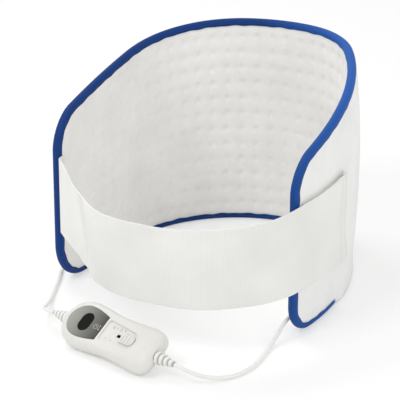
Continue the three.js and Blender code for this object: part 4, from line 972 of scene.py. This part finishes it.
# The fascia is painted: silver grey at its round end, darker towards the switch.
fascia_paint = moulded_material("silver_grey_paint", 0xA0A29A, 0xA0A29A, 0.34, 0.35, 0.1)
tree = fascia_paint.node_tree
skin = tree.nodes["Principled BSDF"]
skin.inputs["Metallic"].default_value = 0.25
plain = skin.inputs["Base Color"].links[0].from_socket
place = node(tree, "ShaderNodeTexCoord")
near, far = (on_case(x, 0, CASE_FACE) for x in FASCIA_FADE)
along = (far - near) / (far - near).length_squared
reach = node(tree, "ShaderNodeVectorMath", {1: along}, {0: place.outputs["Object"]}, operation="DOT_PRODUCT")
share = node(tree, "ShaderNodeMath", {1: along.dot(near)}, {0: reach.outputs["Value"]}, operation="SUBTRACT")
fade = node(tree, "ShaderNodeMix", {"B": linear(0x3C3C38)}, {"A": plain, "Factor": share.outputs[0]},
            data_type="RGBA")
tree.links.new(fade.outputs["Result"], skin.inputs["Base Color"])
smooth_copy("fascia", "pad", fascia_paint)


# Printed marks: thin raised ink lines on the case, a dial sign by the display, the settings by the
# switch from 0 to 3, and two dots under it.
INK = 0.19
FASCIA_FACE = 23.1
RECESS_FACE = 21.6
DIAL_PLACE = (-17, -0.5)
DIAL_RADIUS = 2.7
DIAL_HANDS = [(1.7, [(0, 0.1), (0, 1)]), (1.5, [(0, 0), (0.8, -0.4)])]
ARROW_PLACE = (-12.2, -0.5)
ARROW_SIZE = 3
ARROW = [[(0, -1), (0, 1)], [(-0.35, 0.6), (0, 1), (0.35, 0.6)], [(-0.35, -0.6), (0, -1), (0.35, -0.6)]]
SETTING_PLACE = (2.5, 7.2)
SETTING_STEP = 4.8
SETTING_SIZE = 1.4
DOT_PLACES = [(1, -7.2), (8, -7.2)]
DOT_RADIUS = 0.35
RING = [(math.cos(k * math.pi / 12), math.sin(k * math.pi / 12)) for k in range(25)]
DIGITS = [
    [(-0.6, -1), (0.6, -1), (0.6, 1), (-0.6, 1), (-0.6, -1)],
    [(-0.4, 0.6), (0, 1), (0, -1)],
    [(-0.6, 0.7), (-0.2, 1), (0.4, 1), (0.6, 0.6), (0.5, 0.1), (-0.6, -1), (0.6, -1)],
    [(-0.6, 1), (0.5, 1), (0, 0.2), (0.5, 0), (0.6, -0.5), (0.2, -1), (-0.6, -0.8)],
]


def print_marks(name, face, strokes, material):
    curve = bpy.data.curves.new(name, "CURVE")
    curve.dimensions = "3D"
    curve.bevel_depth = INK * MM
    curve.bevel_resolution = 1
    curve.use_fill_caps = True
    curve.materials.append(material)
    for middle, size, line in strokes:
        spline = curve.splines.new("POLY")
        spline.points.add(len(line) - 1)
        for knot, (x, y) in zip(spline.points, line):
            knot.co = on_case(middle[0] + size * x, middle[1] + size * y, face).to_4d()
    piece = add_piece(name, curve)
    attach(piece, "pad")


silver_ink = moulded_material("silver_ink", 0xD8D8D5, 0xCBCBC8, 0.4, 0.3, 0.1)
grey_ink = moulded_material("grey_ink", 0x9C9C99, 0x8C8C89, 0.5, 0.3, 0.1)
dial = [(DIAL_PLACE, DIAL_RADIUS, RING)]
dial += [(DIAL_PLACE, size, hand) for size, hand in DIAL_HANDS]
dial += [(ARROW_PLACE, ARROW_SIZE, line) for line in ARROW]
print_marks("dial_sign", FASCIA_FACE, dial, silver_ink)
settings = [((SETTING_PLACE[0] + SETTING_STEP * k, SETTING_PLACE[1]), SETTING_SIZE, line)
            for k, line in enumerate(DIGITS)]
settings += [(dot, DOT_RADIUS, RING) for dot in DOT_PLACES]
print_marks("switch_settings", RECESS_FACE, settings, grey_ink)


# Plug and tie: the flat moulded plug with two bare pins, and the band round the spare loops.
nickel = moulded_material("nickel_plated_brass", 0xC9CACB, 0xBBBCBE, 0.25, 0.2, 0.05)
nickel.node_tree.nodes["Principled BSDF"].inputs["Metallic"].default_value = 1.0
carried = [smooth_copy("plug_body", "pad", white_rubber, 30)]
carried.append(smooth_copy("cord_tie", "pad", white_rubber))
for pin in ("plug_pin_1", "plug_pin_2"):
    carried.append(smooth_copy(pin, "pad", nickel))


# Inside pieces: they keep their shapes and get the surfaces of felt, silicone wire, board and parts.
needled_felt = fleece_material("needled_felt", 0xBDBDB4, 0xA6A69C, 1.2)
silicone = moulded_material("red_silicone_wire", 0xA8473A, 0x8E382D, 0.45, 0.5, 0.1)
black_resin = moulded_material("black_moulded_resin", 0x2B2B2D, 0x202022, 0.6, 0.3, 0.2)
white_nylon = moulded_material("white_nylon", 0xE9E9E3, 0xDDDDD6, 0.45, 0.4, 0.1)
green_mask = moulded_material("green_solder_mask", 0x2C6E3C, 0x215A2F, 0.35, 0.6, 0.1)
glass_fuse = moulded_material("ceramic_fuse_tube", 0xDCD6C4, 0xCFC8B4, 0.25, 0.5, 0.05)
amber_film = moulded_material("amber_film_capacitor", 0xB58F42, 0xA37D34, 0.5, 0.4, 0.1)
brown_pvc = moulded_material("brown_pvc_wire", 0x6E4A33, 0x5E3D29, 0.45, 0.4, 0.1)
blue_pvc = moulded_material("blue_pvc_wire", 0x3A5B92, 0x2E4C7E, 0.45, 0.4, 0.1)
zinc_steel = moulded_material("zinc_plated_steel", 0xB9BCC0, 0xA9ACB1, 0.3, 0.3, 0.1)
zinc_steel.node_tree.nodes["Principled BSDF"].inputs["Metallic"].default_value = 1.0
INSIDE = [
    (needled_felt, ("heater_felt",)),
    (silicone, ("heating_wire_1", "heating_wire_2", "pad_wire_1")),
    (black_resin, ("thermostat", "display_module", "switch_body", "triac")),
    (white_nylon, ("splice_block", "pad_wire_2")),
    (green_mask, ("circuit_board", "terminal_mains", "terminal_pad")),
    (glass_fuse, ("fuse",)),
    (amber_film, ("capacitor",)),
    (brown_pvc, ("mains_wire_live",)),
    (blue_pvc, ("mains_wire_neutral",)),
    (zinc_steel, ("pcb_screw_1", "pcb_screw_2", "case_screw_1", "case_screw_2")),
]
for material, names in INSIDE:
    for name in names:
        inside_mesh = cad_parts[name].data
        inside_mesh.materials.clear()
        inside_mesh.materials.append(material)
